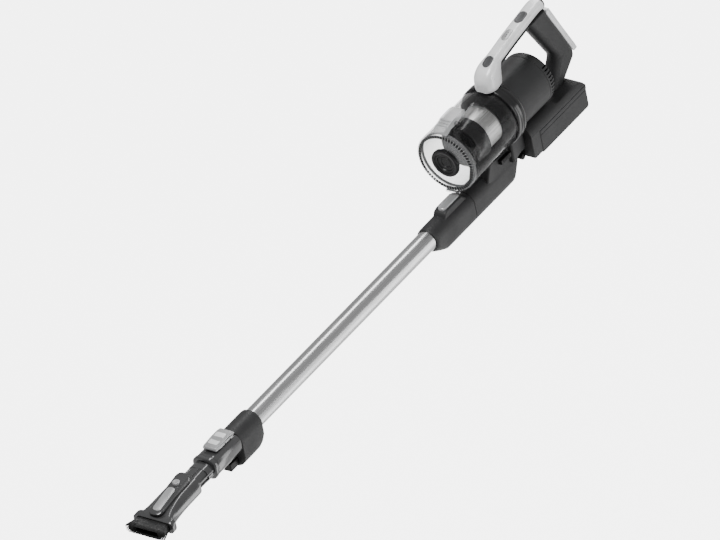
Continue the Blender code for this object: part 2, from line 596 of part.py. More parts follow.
def make_lower_collar():
    first, last = COLLAR_LOW
    lower = WAND_Z - LOW_DROP
    rings = [obround(LOW_HALF, WAND_Z, lower, first), obround(LOW_HALF, WAND_Z, lower, last - 14.0),
             obround(LOW_HALF, WAND_Z, lower + 8.0, last - 3.0), obround(LOW_HALF - 1.2, WAND_Z, lower + 13.0, last)]
    collar = lofted("wand_lower_collar", rings, DARK_PLASTIC)
    bore = turned("low_tube_bore", disc(TUBE_RADIUS + GAP, TUBE_END, last + 5.0), DARK_PLASTIC,
                  centre=(0, 0, WAND_Z), steps=32)
    socket = turned("low_socket_bore", disc(BORE_RADIUS, first - 5.0, TUBE_END + 5.0), DARK_PLASTIC,
                    centre=(0, 0, WAND_Z), steps=24)
    cut(collar, bore, socket)
    block("contact_plug", (-8.0, -655.0, WAND_Z - 42.0), (8.0, first - GAP, WAND_Z - 28.0), BLACK, bevel=1.5,
          segments=1)


# ------------------------------------------------------------------ dusting tool

def flat_ring(y, half_width, half_height, radius, drop=0.0, corner=5):
    """A rounded rectangle across the wand, its middle a little below the tube's axis."""
    middle = WAND_Z - drop
    return rounded_ring(half_width, middle - half_height, middle + half_height, radius, y, corner=corner)


def make_neck():
    back = COLLAR_LOW[0] - GAP
    rings = []
    for y, grow in ((NECK_FRONT, 0.0), (NECK_FRONT + 1.5, 1.3), (-699.5, 1.3), (-698.0, 0.0), (back, 0.0)):
        rings.append(flat_ring(y, NECK_HALF_WIDTH + grow, NECK_HALF_HEIGHT + grow, 13.0 + grow))
    neck = lofted("tool_neck", rings, SMOKED)
    spigot = turned("tool_spigot_guide", disc(SPIGOT_RADIUS, back - 8.0, -603.0), SMOKED, centre=(0, 0, WAND_Z),
                    steps=24)
    join(neck, spigot)
    pin = (0.0, -662.0, WAND_Z + 20.6)
    for side in (-1, 1):
        ear = block(f"rocker_ear_{side}", (side * 8.6 - 1.3, -667.0, WAND_Z + 14.0),
                    (side * 8.6 + 1.3, -657.0, WAND_Z + 23.0), SMOKED)
        join(neck, ear)
    cut(neck, turned("tool_bore", disc(DUCT_RADIUS, NECK_FRONT - 5.0, -600.0), SMOKED, centre=(0, 0, WAND_Z), steps=20),
        turned("rocker_pin_seat", disc(1.4, -12.0, 12.0), SMOKED, axis="X", centre=pin, steps=12))
    make_rocker(pin)


def make_rocker(pin):
    """Block that rocks on the neck to let the tool go, with slots for the neck's two ears."""
    outline = [(-687.0, 20.6), (-673.0, 18.2), (-651.0, 18.2), (-637.0, 20.6), (-634.6, 22.5), (-638.0, 26.5),
               (-646.0, 28.4), (-664.0, 28.6), (-685.0, 26.4), (-687.5, 24.0)]
    rocker = plate("tool_release_rocker", [(y, WAND_Z + z) for y, z in outline], 12.5, PEARL, bevel=1.4,
                   segments=2, pivot=pin)
    slots = []
    for side in (-1, 1):
        slots.append(block(f"rocker_slot_{side}", (side * 8.6 - 1.7, -669.0, WAND_Z + 10.0),
                           (side * 8.6 + 1.7, -655.0, WAND_Z + 24.4), PEARL))
    cut(rocker, *slots, turned("rocker_bore", disc(1.5, -13.0, 13.0), PEARL, axis="X", centre=pin, steps=12))
    turned("tool_rocker_pin", disc(1.1, -12.2, 12.2), STEEL, axis="X", centre=pin, steps=12)


def make_nozzle():
    """Crevice nozzle: a tube that flattens towards its mouth inside the brush sleeve."""
    back = NECK_FRONT - GAP
    stations = ((back, 17.0, 12.0, 0.0), (-752.0, 17.0, 11.0, 0.0), (-795.0, 17.5, 4.8, 3.5), (-838.0, 17.5, 3.8, 5.0))
    outer = [flat_ring(y, w, h, h - 0.1, drop) for y, w, h, drop in stations]
    inner = []
    for (y, w, h, drop), shift in zip(stations, (5.0, 0.0, 0.0, -5.0)):
        inner.append(flat_ring(y + shift, w - 1.7, h - 1.4, h - 1.5, drop))
    cut(lofted("crevice_nozzle", outer, SMOKED), lofted("crevice_cutter", inner, SMOKED))


def make_sleeve():
    outer = ((SLEEVE_BACK, 22.0, 15.0, 12.0, 0.0), (-792.0, 22.5, 14.5, 12.0, 1.0), (-826.0, 24.5, 12.4, 10.0, 3.4),
             (-838.0, 27.0, 11.2, 8.5, 4.6), (-839.5, MOUTH_HALF_WIDTH - 1.0, 10.8, 8.0, 4.8),
             (SLEEVE_MOUTH, MOUTH_HALF_WIDTH, MOUTH_HALF_HEIGHT, 7.0, MOUTH_DROP))
    inner = ((SLEEVE_BACK + 5.0, 20.0, 13.0, 10.0, 0.0), (-800.0, 20.5, 12.3, 10.0, 1.0), (-826.0, 22.6, 10.4, 8.0, 3.0),
             (-837.0, 25.0, 9.2, 6.5, 4.0), (SLEEVE_MOUTH - 6.0, MOUTH_HALF_WIDTH - 2.0, 7.6, 5.5, MOUTH_DROP))
    sleeve = lofted("brush_sleeve", [flat_ring(y, w, h, r, drop) for y, w, h, r, drop in outer], SMOKED)
    bore = lofted("sleeve_bore", [flat_ring(y, w, h, r, drop) for y, w, h, r, drop in inner], SMOKED)
    panel = [(-846.0, 2.0), (-845.0, 9.0), (-838.0, 14.5), (-800.0, 22.0), (-764.0, 26.0), (-756.0, 25.5),
             (-751.6, 20.0), (-751.6, 2.0)]
    join(sleeve, plate("panel_guide", [(y, WAND_Z + z) for y, z in panel], 12.0, SMOKED, bevel=3.5, segments=2))
    spot = (0.0, -778.0, 0.0)
    cut(sleeve, bore, turned("lock_hole", disc(6.4, WAND_Z + 20.0, WAND_Z + 45.0), SMOKED, axis="Z", centre=spot,
                             steps=20))
    turned("brush_lock_button", disc(6.0, WAND_Z + 22.0, WAND_Z + 26.6), PEARL, axis="Z", centre=spot, steps=20)


def make_bristles():
    seat = SLEEVE_MOUTH + 4.0
    rings = [flat_ring(seat, 28.0, 6.9, 5.0, MOUTH_DROP), flat_ring(SLEEVE_MOUTH, 29.8, 7.0, 5.0, MOUTH_DROP),
             flat_ring(BRISTLE_END, 34.5, 8.0, 5.0, MOUTH_DROP)]
    for y in (BRISTLE_END, seat):
        rings.append(flat_ring(y, 18.6, 5.9, 2.0, MOUTH_DROP))
    lofted("bristles", rings, BRISTLE, closed=True)


clear_scene()
FRAME = make_frame()

DARK_PLASTIC = finish("dark_plastic", (0.045, 0.045, 0.05), 0.45)
DARK_GLOSS = finish("dark_gloss", (0.02, 0.02, 0.022), 0.18)
BLACK = finish("black_plastic", (0.008, 0.008, 0.009), 0.4)
PEARL = finish("pearl_plastic", (0.72, 0.72, 0.72), 0.3)
CLEAR = finish("clear_plastic", (0.9, 0.92, 0.93), 0.06, alpha=0.3)
SMOKED = finish("smoked_plastic", (0.16, 0.16, 0.165), 0.2, 0.4)
ALUMINIUM = finish("aluminium", (0.6, 0.6, 0.6), 0.32, 1.0)
STEEL = finish("steel", (0.5, 0.5, 0.5), 0.3, 1.0)
MOTOR_STEEL = finish("motor_steel", (0.35, 0.35, 0.36), 0.4, 1.0)
MESH_STEEL = finish("mesh_steel", (0.62, 0.62, 0.6), 0.35, 1.0)
COPPER = finish("copper_winding", (0.6, 0.25, 0.12), 0.4, 1.0)
BRASS = finish("brass_contact", (0.75, 0.55, 0.25), 0.3, 1.0)
RUBBER = finish("rubber", (0.02, 0.02, 0.02), 0.7)
FOAM = finish("filter_foam", (0.12, 0.12, 0.13), 0.9)
FILTER_PAPER = finish("filter_paper", (0.8, 0.8, 0.76), 0.85)
CELL_WRAP = finish("cell_wrap", (0.05, 0.2, 0.35), 0.4)
BOARD = finish("circuit_board", (0.02, 0.18, 0.08), 0.5)
BRISTLE = finish("bristle", (0.01, 0.01, 0.01), 0.6)

make_cup()
make_lid()
make_lid_latch()
make_cyclone()
make_collar_and_filter()
make_housing()
make_motor()
make_main_body()
make_dock()
make_battery()
HANDLE_BAR = make_bar()
make_buttons(HANDLE_BAR)
make_grip()
make_coupling()
make_tube()
make_lower_collar()
make_neck()
make_nozzle()
make_sleeve()
make_bristles()
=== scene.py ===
"""Looks of the cordless stick vacuum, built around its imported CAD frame.

Shapes are drawn in millimetres in the machine's own layout: y = 0 lies 5 mm behind the front of
the cup's lid, and x = z = 0 is the axis that the dust cup and the motor share.
"""
import math
import random

import bmesh
import bpy
from mathutils import Matrix, Vector


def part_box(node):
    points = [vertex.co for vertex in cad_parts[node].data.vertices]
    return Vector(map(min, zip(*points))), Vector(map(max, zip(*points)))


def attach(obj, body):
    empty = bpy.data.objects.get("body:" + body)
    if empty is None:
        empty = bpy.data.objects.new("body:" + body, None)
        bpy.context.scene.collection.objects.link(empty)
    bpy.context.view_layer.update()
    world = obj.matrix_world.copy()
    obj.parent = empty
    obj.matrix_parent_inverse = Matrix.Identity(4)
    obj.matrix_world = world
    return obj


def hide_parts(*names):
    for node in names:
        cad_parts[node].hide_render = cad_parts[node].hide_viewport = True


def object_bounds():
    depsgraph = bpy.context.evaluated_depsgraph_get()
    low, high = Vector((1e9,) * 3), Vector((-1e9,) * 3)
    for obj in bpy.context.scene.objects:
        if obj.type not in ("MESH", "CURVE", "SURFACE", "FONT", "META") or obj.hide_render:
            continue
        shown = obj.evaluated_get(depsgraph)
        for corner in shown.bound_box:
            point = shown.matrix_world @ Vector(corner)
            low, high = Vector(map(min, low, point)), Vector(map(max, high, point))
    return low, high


MM = 0.001
RANDOM = random.Random(7)
ROUND = 96

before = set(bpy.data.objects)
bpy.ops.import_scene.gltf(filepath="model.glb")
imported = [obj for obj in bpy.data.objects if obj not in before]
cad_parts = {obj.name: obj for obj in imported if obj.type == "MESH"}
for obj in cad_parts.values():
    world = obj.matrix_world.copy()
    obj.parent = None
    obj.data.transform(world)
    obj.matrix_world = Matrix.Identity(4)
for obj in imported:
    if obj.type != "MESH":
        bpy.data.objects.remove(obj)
FRAME_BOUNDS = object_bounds()


# ------------------------------------------------------------------ places, from the frame

def layout_origin():
    """The lid's front gives y, and the collar's middle gives the shared axis."""
    low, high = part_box("housing_collar")
    lid_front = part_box("cup_lid")[0].y
    return Vector(((low.x + high.x) / 2, lid_front + 5 * MM, (low.z + high.z) / 2))


ORIGIN = layout_origin()


def span(node, axis):
    """First and last position of a CAD node along an axis, in millimetres of the layout."""
    low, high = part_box(node)
    start = ORIGIN[axis]
    return (low[axis] - start) / MM, (high[axis] - start) / MM


TUBE_Y = span("wand_tube", 1)
WAND_Z = sum(span("wand_tube", 2)) / 2
COUPLING_Y = span("wand_coupling", 1)
LOW_COLLAR_Y = span("wand_lower_collar", 1)
HOUSING_Y = span("motor_housing", 1)
COVER_Y = span("rear_cover", 1)
CUP_Y = span("dust_cup", 1)
BATTERY_Y = span("battery_case", 1)
BATTERY_Z = (span("battery_case", 2)[0], span("battery_top", 2)[1])
BATTERY_HALF = span("battery_case", 0)[1]
NECK_Y = span("tool_neck", 1)
SLEEVE_Y = span("brush_sleeve", 1)
BRISTLES_Y = span("bristles", 1)


# ------------------------------------------------------------------ mesh helpers

def add_piece(name, bm, material, body, nodes=(), bevel=0.0, segments=3, sharp=35.0):
    """Finish a bmesh drawn in layout millimetres as a piece that rides on a CAD body."""
    bmesh.ops.remove_doubles(bm, verts=bm.verts, dist=0.0005)
    bmesh.ops.recalc_face_normals(bm, faces=bm.faces)
    bmesh.ops.scale(bm, verts=bm.verts, vec=(MM, MM, MM))
    bmesh.ops.translate(bm, verts=bm.verts, vec=ORIGIN)
    mesh = bpy.data.meshes.new(name)
    bm.to_mesh(mesh)
    bm.free()
    mesh.shade_smooth()
    mesh.set_sharp_from_angle(angle=math.radians(sharp))
    mesh.materials.append(material)
    obj = bpy.data.objects.new(name, mesh)
    bpy.context.collection.objects.link(obj)
    if bevel:
        soften(obj, bevel, segments, 28)
    if body:
        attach(obj, body)
    if nodes:
        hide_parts(*nodes)
    return obj


def turned_mesh(profile, centre=(0.0, 0.0, 0.0), axis="Y", steps=ROUND, closed=True):
    """Spin an outline of (radius, distance along the axis)."""
    bm = bmesh.new()
    verts = [bm.verts.new((radius, along, 0.0)) for radius, along in profile]
    pairs = list(zip(verts, verts[1:]))
    if closed:
        pairs.append((verts[-1], verts[0]))
    edges = [bm.edges.new(pair) for pair in pairs if pair[0].co.x > 1e-4 or pair[1].co.x > 1e-4]
    bmesh.ops.spin(bm, geom=verts + edges, cent=(0, 0, 0), axis=(0, 1, 0), angle=math.tau, steps=steps,
        use_merge=True)
    if axis == "X":
        bm.transform(Matrix.Rotation(-math.pi / 2, 4, "Z"))
    if axis == "Z":
        bm.transform(Matrix.Rotation(math.pi / 2, 4, "X"))
    bmesh.ops.translate(bm, verts=bm.verts, vec=centre)
    return bm


def skin(rings, caps=True, loop=False):
    """Skin matching rings of points."""
    bm = bmesh.new()
    loops = [[bm.verts.new(point) for point in ring] for ring in rings]
    pairs = list(zip(loops, loops[1:]))
    if loop:
        pairs.append((loops[-1], loops[0]))
    elif caps:
        bm.faces.new(loops[0])
        bm.faces.new(loops[-1][::-1])
    for near, far in pairs:
        count = len(near)
        for i in range(count):
            j = (i + 1) % count
            bm.faces.new((near[i], near[j], far[j], far[i]))
    return bm


def smooth_between(rows, per_span=6):
    """Catmull-Rom rows of numbers between the given rows, the given ones included."""
    result = []
    last = len(rows) - 1
    for i in range(last):
        p0, p1, p2, p3 = rows[max(i - 1, 0)], rows[i], rows[i + 1], rows[min(i + 2, last)]
        for step in range(per_span):
            t = step / per_span
            row = []
            for a, b, c, d in zip(p0, p1, p2, p3):
                bend = 2 * a - 5 * b + 4 * c - d
                twist = 3 * b - a - 3 * c + d
                row.append(0.5 * (2 * b + (c - a) * t + bend * t * t + twist * t * t * t))
            result.append(tuple(row))
    result.append(tuple(rows[-1]))
    return result


def rounded_ring(y, half_width, low, high, radius, corner=8, lean=0.0):
    """A rounded rectangle across Y from low to high."""
    points = []
    radius = max(min(radius, half_width - 0.01, (high - low) / 2 - 0.01), 0.05)
    middle = (low + high) / 2
    for sx, sz, start in ((1, 1, 0.0), (-1, 1, 0.5), (-1, -1, 1.0), (1, -1, 1.5)):
        for i in range(corner + 1):
            angle = math.pi * (start + 0.5 * i / corner)
            x = sx * (half_width - radius) + radius * math.cos(angle)
            z = (high - radius if sz > 0 else low + radius) + radius * math.sin(angle)
            points.append((x, y + lean * (z - middle), z))
    return points


def obround(y, half_width, top, bottom, shear=0.0, steps=24):
    points = []
    for centre, start in ((top, 0.0), (bottom, math.pi)):
        for i in range(steps + 1):
            angle = start + math.pi * i / steps
            z = centre + half_width * math.sin(angle)
            points.append((half_width * math.cos(angle), y + shear * (z - bottom), z))
    return points


def filleted(points, radius, steps=5):
    """An outline of (y, z) points with every corner rounded; a point may carry its own radius."""
    result = []
    count = len(points)
    for i in range(count):
        here = Vector(points[i][:2])
        size = points[i][2] if len(points[i]) > 2 else radius
        before = Vector(points[i - 1][:2]) - here
        after = Vector(points[(i + 1) % count][:2]) - here
        reach = min(size, before.length * 0.48, after.length * 0.48)
        start = here + before.normalized() * reach
        end = here + after.normalized() * reach
        for step in range(steps + 1):
            t = step / steps
            point = start * (1 - t) ** 2 + here * 2 * t * (1 - t) + end * t * t
            result.append((point.x, point.y))
    return result


def rectangle(half, first, last, radius, *steps):
    """Outline of a rectangle with rounded corners, the same to both sides of the middle."""
    corners = [(-half, first), (half, first), (half, last), (-half, last)]
    return filleted(corners, radius, *steps)


def slab(outline, half_width, mid=0.0):
    """An outline of (y, z) points made solid across X."""
    bm = bmesh.new()
    near = [bm.verts.new((mid - half_width, y, z)) for y, z in outline]
    far = [bm.verts.new((mid + half_width, y, z)) for y, z in outline]
    bm.faces.new(near)
    bm.faces.new(far[::-1])
    for i in range(len(outline)):
        j = (i + 1) % len(outline)
        bm.faces.new((near[i], far[i], far[j], near[j]))
    return bm


def plate(outline, half_width, edge, segments=5, mid=0.0):
    """An outline of (y, z) points made solid across X, with every edge rounded alike."""
    bm = slab(outline, half_width, mid)
    bmesh.ops.recalc_face_normals(bm, faces=bm.faces)
    bmesh.ops.bevel(bm, geom=bm.edges[:], offset=edge, segments=segments, profile=0.5, affect="EDGES",
        clamp_overlap=True)
    return bm


def inset_outline(outline, distance):
    """Move every point of an outline inwards along the mean normal of its two sides."""
    count = len(outline)
    area = sum(outline[i - 1][0] * outline[i][1] - outline[i][0] * outline[i - 1][1] for i in range(count))
    turn = 1.0 if area > 0 else -1.0
    result = []
    for i in range(count):
        here = Vector(outline[i])
        before = (here - Vector(outline[i - 1])).normalized()
        after = (Vector(outline[(i + 1) % count]) - here).normalized()
        normal = Vector((-(before.y + after.y), before.x + after.x)).normalized() * turn
        stretch = 1.0 / max(normal.dot(Vector((-before.y, before.x)) * turn), 0.6)
        point = here + normal * distance * stretch
        result.append((point.x, point.y))
    return result


def pillow(outline, half_width, edge, mid=0.0, steps=7):
    """An outline of (y, z) points made solid across X, with its two long edges rounded."""
    layers = []
    for i in range(steps + 1):
        angle = math.pi / 2 * i / steps
        layers.append((half_width - edge + edge * math.cos(angle), edge * (1.0 - math.sin(angle))))
    sides = [(-x, inset) for x, inset in layers] + [(x, inset) for x, inset in reversed(layers)]
    rings = []
    for x, inset in sides:
        rings.append([(mid + x, y, z) for y, z in inset_outline(outline, inset)])
    return skin(rings)


def box_mesh(low, high):
    outline = [(low[1], low[2]), (high[1], low[2]), (high[1], high[2]), (low[1], high[2])]
    return slab(outline, (high[0] - low[0]) / 2, (low[0] + high[0]) / 2)


def merge(*meshes):
    """One bmesh that holds them all."""
    first = meshes[0]
    for other in meshes[1:]:
        mesh = bpy.data.meshes.new("part")
        other.to_mesh(mesh)
        other.free()
        first.from_mesh(mesh)
        bpy.data.meshes.remove(mesh)
    return first


def shape(obj, bm, name, operation):
    """Join a bmesh's shape to a piece, or cut it out, and apply it."""
    tool = add_piece(name, bm, obj.data.materials[0], None)
    modifier = obj.modifiers.new(name, "BOOLEAN")
    modifier.operation = operation
    modifier.solver = "EXACT"
    modifier.use_self = True
    modifier.object = tool
    apply_modifiers(obj)
    bpy.data.objects.remove(tool, do_unlink=True)


def cut(obj, bm, name):
    shape(obj, bm, name, "DIFFERENCE")


def join(obj, bm, name):
    shape(obj, bm, name, "UNION")


def apply_modifiers(obj):
    graph = bpy.context.evaluated_depsgraph_get()
    graph.update()
    mesh = bpy.data.meshes.new_from_object(obj.evaluated_get(graph))
    old = obj.data
    obj.modifiers.clear()
    obj.data = mesh
    mesh.set_sharp_from_angle(angle=math.radians(35))
    bpy.data.meshes.remove(old)


def soften(obj, width, segments=3, angle=40):
    modifier = obj.modifiers.new("edges", "BEVEL")
    modifier.width = width * MM
    modifier.segments = segments
    modifier.limit_method = "ANGLE"
    modifier.angle_limit = math.radians(angle)
    modifier.harden_normals = True


# ------------------------------------------------------------------ materials

def put(node, values):
    """Sets a node's own input sockets."""
    for socket, value in values.items():
        node.inputs[socket].default_value = value


def material_base(name, colour, roughness, metallic=0.0, alpha=1.0):
    material = bpy.data.materials.new(name)
    material.use_nodes = True
    shader = material.node_tree.nodes["Principled BSDF"]
    put(shader, {"Base Color": (*colour, 1.0), "Roughness": roughness, "Metallic": metallic,
        "Alpha": alpha})
    return material, material.node_tree, shader


def object_space(tree, scale=(1.0, 1.0, 1.0)):
    coordinates = tree.nodes.new("ShaderNodeTexCoord")
    mapping = tree.nodes.new("ShaderNodeMapping")
    mapping.inputs["Scale"].default_value = scale
    tree.links.new(coordinates.outputs["Object"], mapping.inputs["Vector"])
    return mapping.outputs["Vector"]


def noise(tree, vector, scale, detail=3.0):
    texture = tree.nodes.new("ShaderNodeTexNoise")
    put(texture, {"Scale": scale, "Detail": detail})
    tree.links.new(vector, texture.inputs["Vector"])
    return texture.outputs["Fac"]


def remap(tree, value, low, high):
    node = tree.nodes.new("ShaderNodeMapRange")
    put(node, {"From Min": 0.3, "From Max": 0.7, "To Min": low, "To Max": high})
    tree.links.new(value, node.inputs["Value"])
    return node.outputs["Result"]


def tint(tree, value, dark, light, low=0.3, high=0.7):
    """A colour that goes from dark to light as the value goes from low to high."""
    ramp = tree.nodes.new("ShaderNodeValToRGB")
    for element, position, colour in zip(ramp.color_ramp.elements, (low, high), (dark, light)):
        element.position = position
        element.color = (*colour, 1.0)
    tree.links.new(value, ramp.inputs["Fac"])
    return ramp.outputs["Color"]


def bump(tree, shader, height, strength, distance):
    node = tree.nodes.new("ShaderNodeBump")
    put(node, {"Strength": strength, "Distance": distance})
    tree.links.new(height, node.inputs["Height"])
    tree.links.new(node.outputs["Normal"], shader.inputs["Normal"])


def shades(colour, darker, lighter):
    dark = tuple(channel * darker for channel in colour)
    return dark, tuple(min(channel * lighter, 1.0) for channel in colour)


def plastic(name, colour, roughness, grain=1400.0, depth=0.12, metallic=0.0, coat=0.0, spread=0.06,
        shine=0.5):
    """Moulded plastic: fine spark grain, soft handling marks and a slight shift of tone."""
    material, tree, shader = material_base(name, colour, roughness, metallic)
    vector = object_space(tree)
    marks = noise(tree, vector, 38.0, 4.0)
    tree.links.new(remap(tree, marks, roughness - spread, roughness + spread), shader.inputs["Roughness"])
    dark, light = shades(colour, 0.92, 1.08)
    tree.links.new(tint(tree, marks, dark, light), shader.inputs["Base Color"])
    bump(tree, shader, noise(tree, vector, grain, 2.0), depth, 0.0001)
    put(shader, {"Specular IOR Level": shine, "Coat Weight": coat, "Coat Roughness": 0.08})
    return material


def metal(name, colour, roughness, stretch=(1.0, 1.0, 1.0), scale=600.0, depth=0.1):
    """Metal with a drawn or turned grain along the stretched axis."""
    material, tree, shader = material_base(name, colour, roughness, 1.0)
    vector = object_space(tree, stretch)
    lines = noise(tree, vector, scale, 3.0)
    tree.links.new(remap(tree, lines, roughness - 0.05, roughness + 0.07), shader.inputs["Roughness"])
    dark, light = shades(colour, 0.95, 1.04)
    tree.links.new(tint(tree, lines, dark, light), shader.inputs["Base Color"])
    bump(tree, shader, lines, depth, 0.0001)
    return material


def clear(name, colour, facing_alpha, edge_alpha, roughness=0.06, shine=0.5):
    """Thin clear plastic: more of it is seen towards its edges."""
    material, tree, shader = material_base(name, colour, roughness)
    weight = tree.nodes.new("ShaderNodeLayerWeight")
    weight.inputs["Blend"].default_value = 0.35
    scale = tree.nodes.new("ShaderNodeMapRange")
    put(scale, {"To Min": facing_alpha, "To Max": edge_alpha})
    tree.links.new(weight.outputs["Facing"], scale.inputs["Value"])
    tree.links.new(scale.outputs["Result"], shader.inputs["Alpha"])
    haze = noise(tree, object_space(tree), 55.0, 4.0)
    tree.links.new(remap(tree, haze, roughness, roughness + 0.08), shader.inputs["Roughness"])
    shader.inputs["Specular IOR Level"].default_value = shine
    return material


def screen(name, colour):
    """Perforated steel: rows of small round perforations, painted dark as the shade seen through them."""
    material, tree, shader = material_base(name, colour, 0.34, 1.0)
    cells = tree.nodes.new("ShaderNodeTexVoronoi")
    put(cells, {"Scale": 620.0, "Randomness": 0.15})
    tree.links.new(object_space(tree), cells.inputs["Vector"])
    # painted shade: the perforations are not cut, their dark is painted into the steel's colour
    hole_shade = tint(tree, cells.outputs["Distance"], (0.34, 0.34, 0.34), colour, 0.26, 0.42)
    tree.links.new(hole_shade, shader.inputs["Base Color"])
    bump(tree, shader, cells.outputs["Distance"], 0.4, 0.0003)
    return material


BODY = plastic("graphite_plastic", (0.021, 0.0213, 0.022), 0.48, shine=0.3)
GRIP = plastic("grip_plastic", (0.019, 0.0193, 0.02), 0.52, grain=900.0, depth=0.3, shine=0.3)
GLOSS = plastic("gloss_black", (0.009, 0.009, 0.0095), 0.2, depth=0.03, coat=0.12, spread=0.04)
SATIN_BLACK = plastic("satin_black", (0.004, 0.004, 0.0045), 0.45, shine=0.25)
HUB_BLACK = plastic("hub_black", (0.003, 0.003, 0.0035), 0.3, shine=0.3)
BUTTON_GREY = plastic("button_grey", (0.05, 0.051, 0.053), 0.32, depth=0.08)
PEARL = plastic("pearl_grey", (0.78, 0.785, 0.79), 0.3, metallic=0.12, coat=0.3, depth=0.05)
KEY_GREY = plastic("key_grey", (0.34, 0.343, 0.347), 0.32, metallic=0.35, coat=0.2, depth=0.06)
SMOKE = plastic("smoked_gloss", (0.075, 0.0755, 0.077), 0.17, metallic=0.5, coat=0.35, depth=0.03,
    spread=0.04)
TUBE = metal("wand_aluminium", (0.55, 0.55, 0.555), 0.24, (1.0, 0.02, 1.0), 900.0, 0.04)
TURNED = metal("turned_steel", (0.5, 0.5, 0.51), 0.3, (1.0, 6.0, 1.0), 700.0)
BRASS = metal("plated_brass", (0.78, 0.58, 0.3), 0.28)
COPPER = metal("copper_winding", (0.62, 0.27, 0.14), 0.4, (1.0, 8.0, 1.0), 900.0, 0.6)
MESH = screen("perforated_steel", (0.95, 0.95, 0.94))
CLEAR = clear("clear_plastic", (0.012, 0.012, 0.0125), 0.1, 0.62, 0.04, 0.3)
LID_CLEAR = clear("lid_plastic", (0.45, 0.455, 0.46), 0.05, 0.6, 0.05, 0.3)
LATCH_CLEAR = clear("latch_plastic", (0.5, 0.505, 0.51), 0.4, 0.9, 0.12)
RUBBER = plastic("rubber", (0.018, 0.018, 0.018), 0.7, grain=600.0, depth=0.3)
FOAM = plastic("filter_foam", (0.12, 0.12, 0.125), 0.95, grain=420.0, depth=1.0, spread=0.02)
PAPER = plastic("filter_paper", (0.78, 0.77, 0.73), 0.9, grain=260.0, depth=0.8, spread=0.03)
WRAP = plastic("cell_wrap", (0.05, 0.17, 0.32), 0.32, depth=0.05)
BOARD = plastic("circuit_board", (0.02, 0.13, 0.06), 0.45, grain=300.0, depth=0.4)
BRISTLE = plastic("nylon_bristle", (0.03, 0.03, 0.0305), 0.4)
# the dark band among the bristles: their packed mass, darker than the strands as painted shade between them
BRISTLE_MASS_SHADE = plastic("bristle_mass_shade", (0.006, 0.006, 0.0065), 0.6, shine=0.2)


# ------------------------------------------------------------------ dust cup and lid

def ring_profile(outer, inner, start, end):
    return [(outer, start), (outer, end), (inner, end), (inner, start)]


def make_cup():
    first, last = 2.0, CUP_Y[1]
    profile = [(52.2, first), (52.8, first + 0.6), (52.8, 7.0), (52.2, 7.6), (52.2, 9.4), (52.8, 10.0),
        (52.8, last - 7.0), (52.4, last - 6.4), (52.4, last), (50.6, last), (50.6, first)]
    parts = [turned_mesh(profile, steps=128)]
    pin_y, pin_z = 0.0, -57.8
    for side in (-1, 1):
        parts.append(turned_mesh(ring_profile(3.7, 1.8, side * 9.2 - 2.7, side * 9.2 + 2.7), axis="X",
            steps=40, centre=(0.0, pin_y, pin_z)))
        parts.append(box_mesh((side * 9.2 - 2.6, 2.2, pin_z - 2.6), (side * 9.2 + 2.6, 8.6, -51.6)))
        ear = filleted([(17.4, 51.0), (26.6, 51.0), (25.4, 64.0), (18.6, 64.0)], 2.4)
        parts.append(slab(ear, 1.5, side * 13.6))
    cup = add_piece("dust_cup_shell", merge(*parts), CLEAR, "cup", ["dust_cup"])
    cup.data.set_sharp_from_angle(angle=math.radians(40))


def make_lid():
    """Clear lid: stepped rings, a rim of small teeth and a black hub with stepped rings."""
    profile = [(21.4, -3.0), (30.2, -3.0), (30.5, -3.5), (31.1, -3.5), (31.4, -3.0), (41.6, -3.0),
        (42.0, -3.9), (43.2, -3.9), (44.4, -4.8), (51.6, -5.0), (52.6, -4.2), (52.8, -3.0), (52.8, 1.6),
        (47.7, 1.6), (47.6, -1.0), (21.4, -1.0)]
    knuckle = turned_mesh(ring_profile(3.7, 1.8, -5.8, 5.8), axis="X", steps=40, centre=(0.0, 0.0, -57.8))
    web = box_mesh((-5.6, -4.2, -55.4), (5.6, 0.8, -50.5))
    lid = add_piece("lid_disc", merge(turned_mesh(profile, steps=128), knuckle, web), LID_CLEAR, "lid",
        ["cup_lid"])
    lid.data.set_sharp_from_angle(angle=math.radians(40))
    teeth = []
    ribs = []
    count = 60
    for i in range(count):
        angle = math.tau * i / count
        if abs(math.sin(angle / 2 + math.pi / 2)) > 0.999 and math.cos(angle) < 0:
            continue
        tooth = box_mesh((-1.7, -5.7, 45.4), (1.7, -4.4, 50.4))
        tooth.transform(Matrix.Rotation(angle, 4, "Y"))
        teeth.append(tooth)
        rib = box_mesh((-0.4, -5.4, 45.2), (0.4, -4.6, 51.6))
        rib.transform(Matrix.Rotation(angle + math.pi / count, 4, "Y"))
        ribs.append(rib)
    add_piece("lid_rim_teeth", merge(*teeth), SATIN_BLACK, "lid")
    add_piece("lid_rim_ribs", merge(*ribs), KEY_GREY, "lid")
    seal = [(50.1, 1.9), (50.1, 5.6), (49.6, 6.0), (48.4, 6.0), (47.9, 5.6), (47.9, 1.9)]
    add_piece("lid_seal_ring", turned_mesh(seal, steps=128), RUBBER, "lid", ["lid_seal"])
    hub = [(0.0, -4.5), (7.6, -4.6), (8.4, -5.6), (10.2, -5.6), (10.8, -4.9), (14.2, -5.1), (15.0, -6.5),
        (17.2, -6.7), (18.0, -7.7), (19.6, -8.5), (23.4, -8.6), (24.3, -8.1), (24.7, -7.2), (24.7, -3.4),
        (21.1, -3.4), (21.1, 2.9), (17.1, 2.9), (17.1, -3.9), (0.0, -3.9)]
    add_piece("lid_hub_rings", turned_mesh(hub), HUB_BLACK, "lid", ["lid_hub"])
    pin = [(0.0, -12.3), (1.2, -12.3), (1.5, -12.0), (1.5, 12.0), (1.2, 12.3), (0.0, 12.3)]
    add_piece("lid_pin", turned_mesh(pin, axis="X", steps=24, centre=(0.0, 0.0, -57.8)), TURNED, "lid",
        ["lid_hinge_pin"])


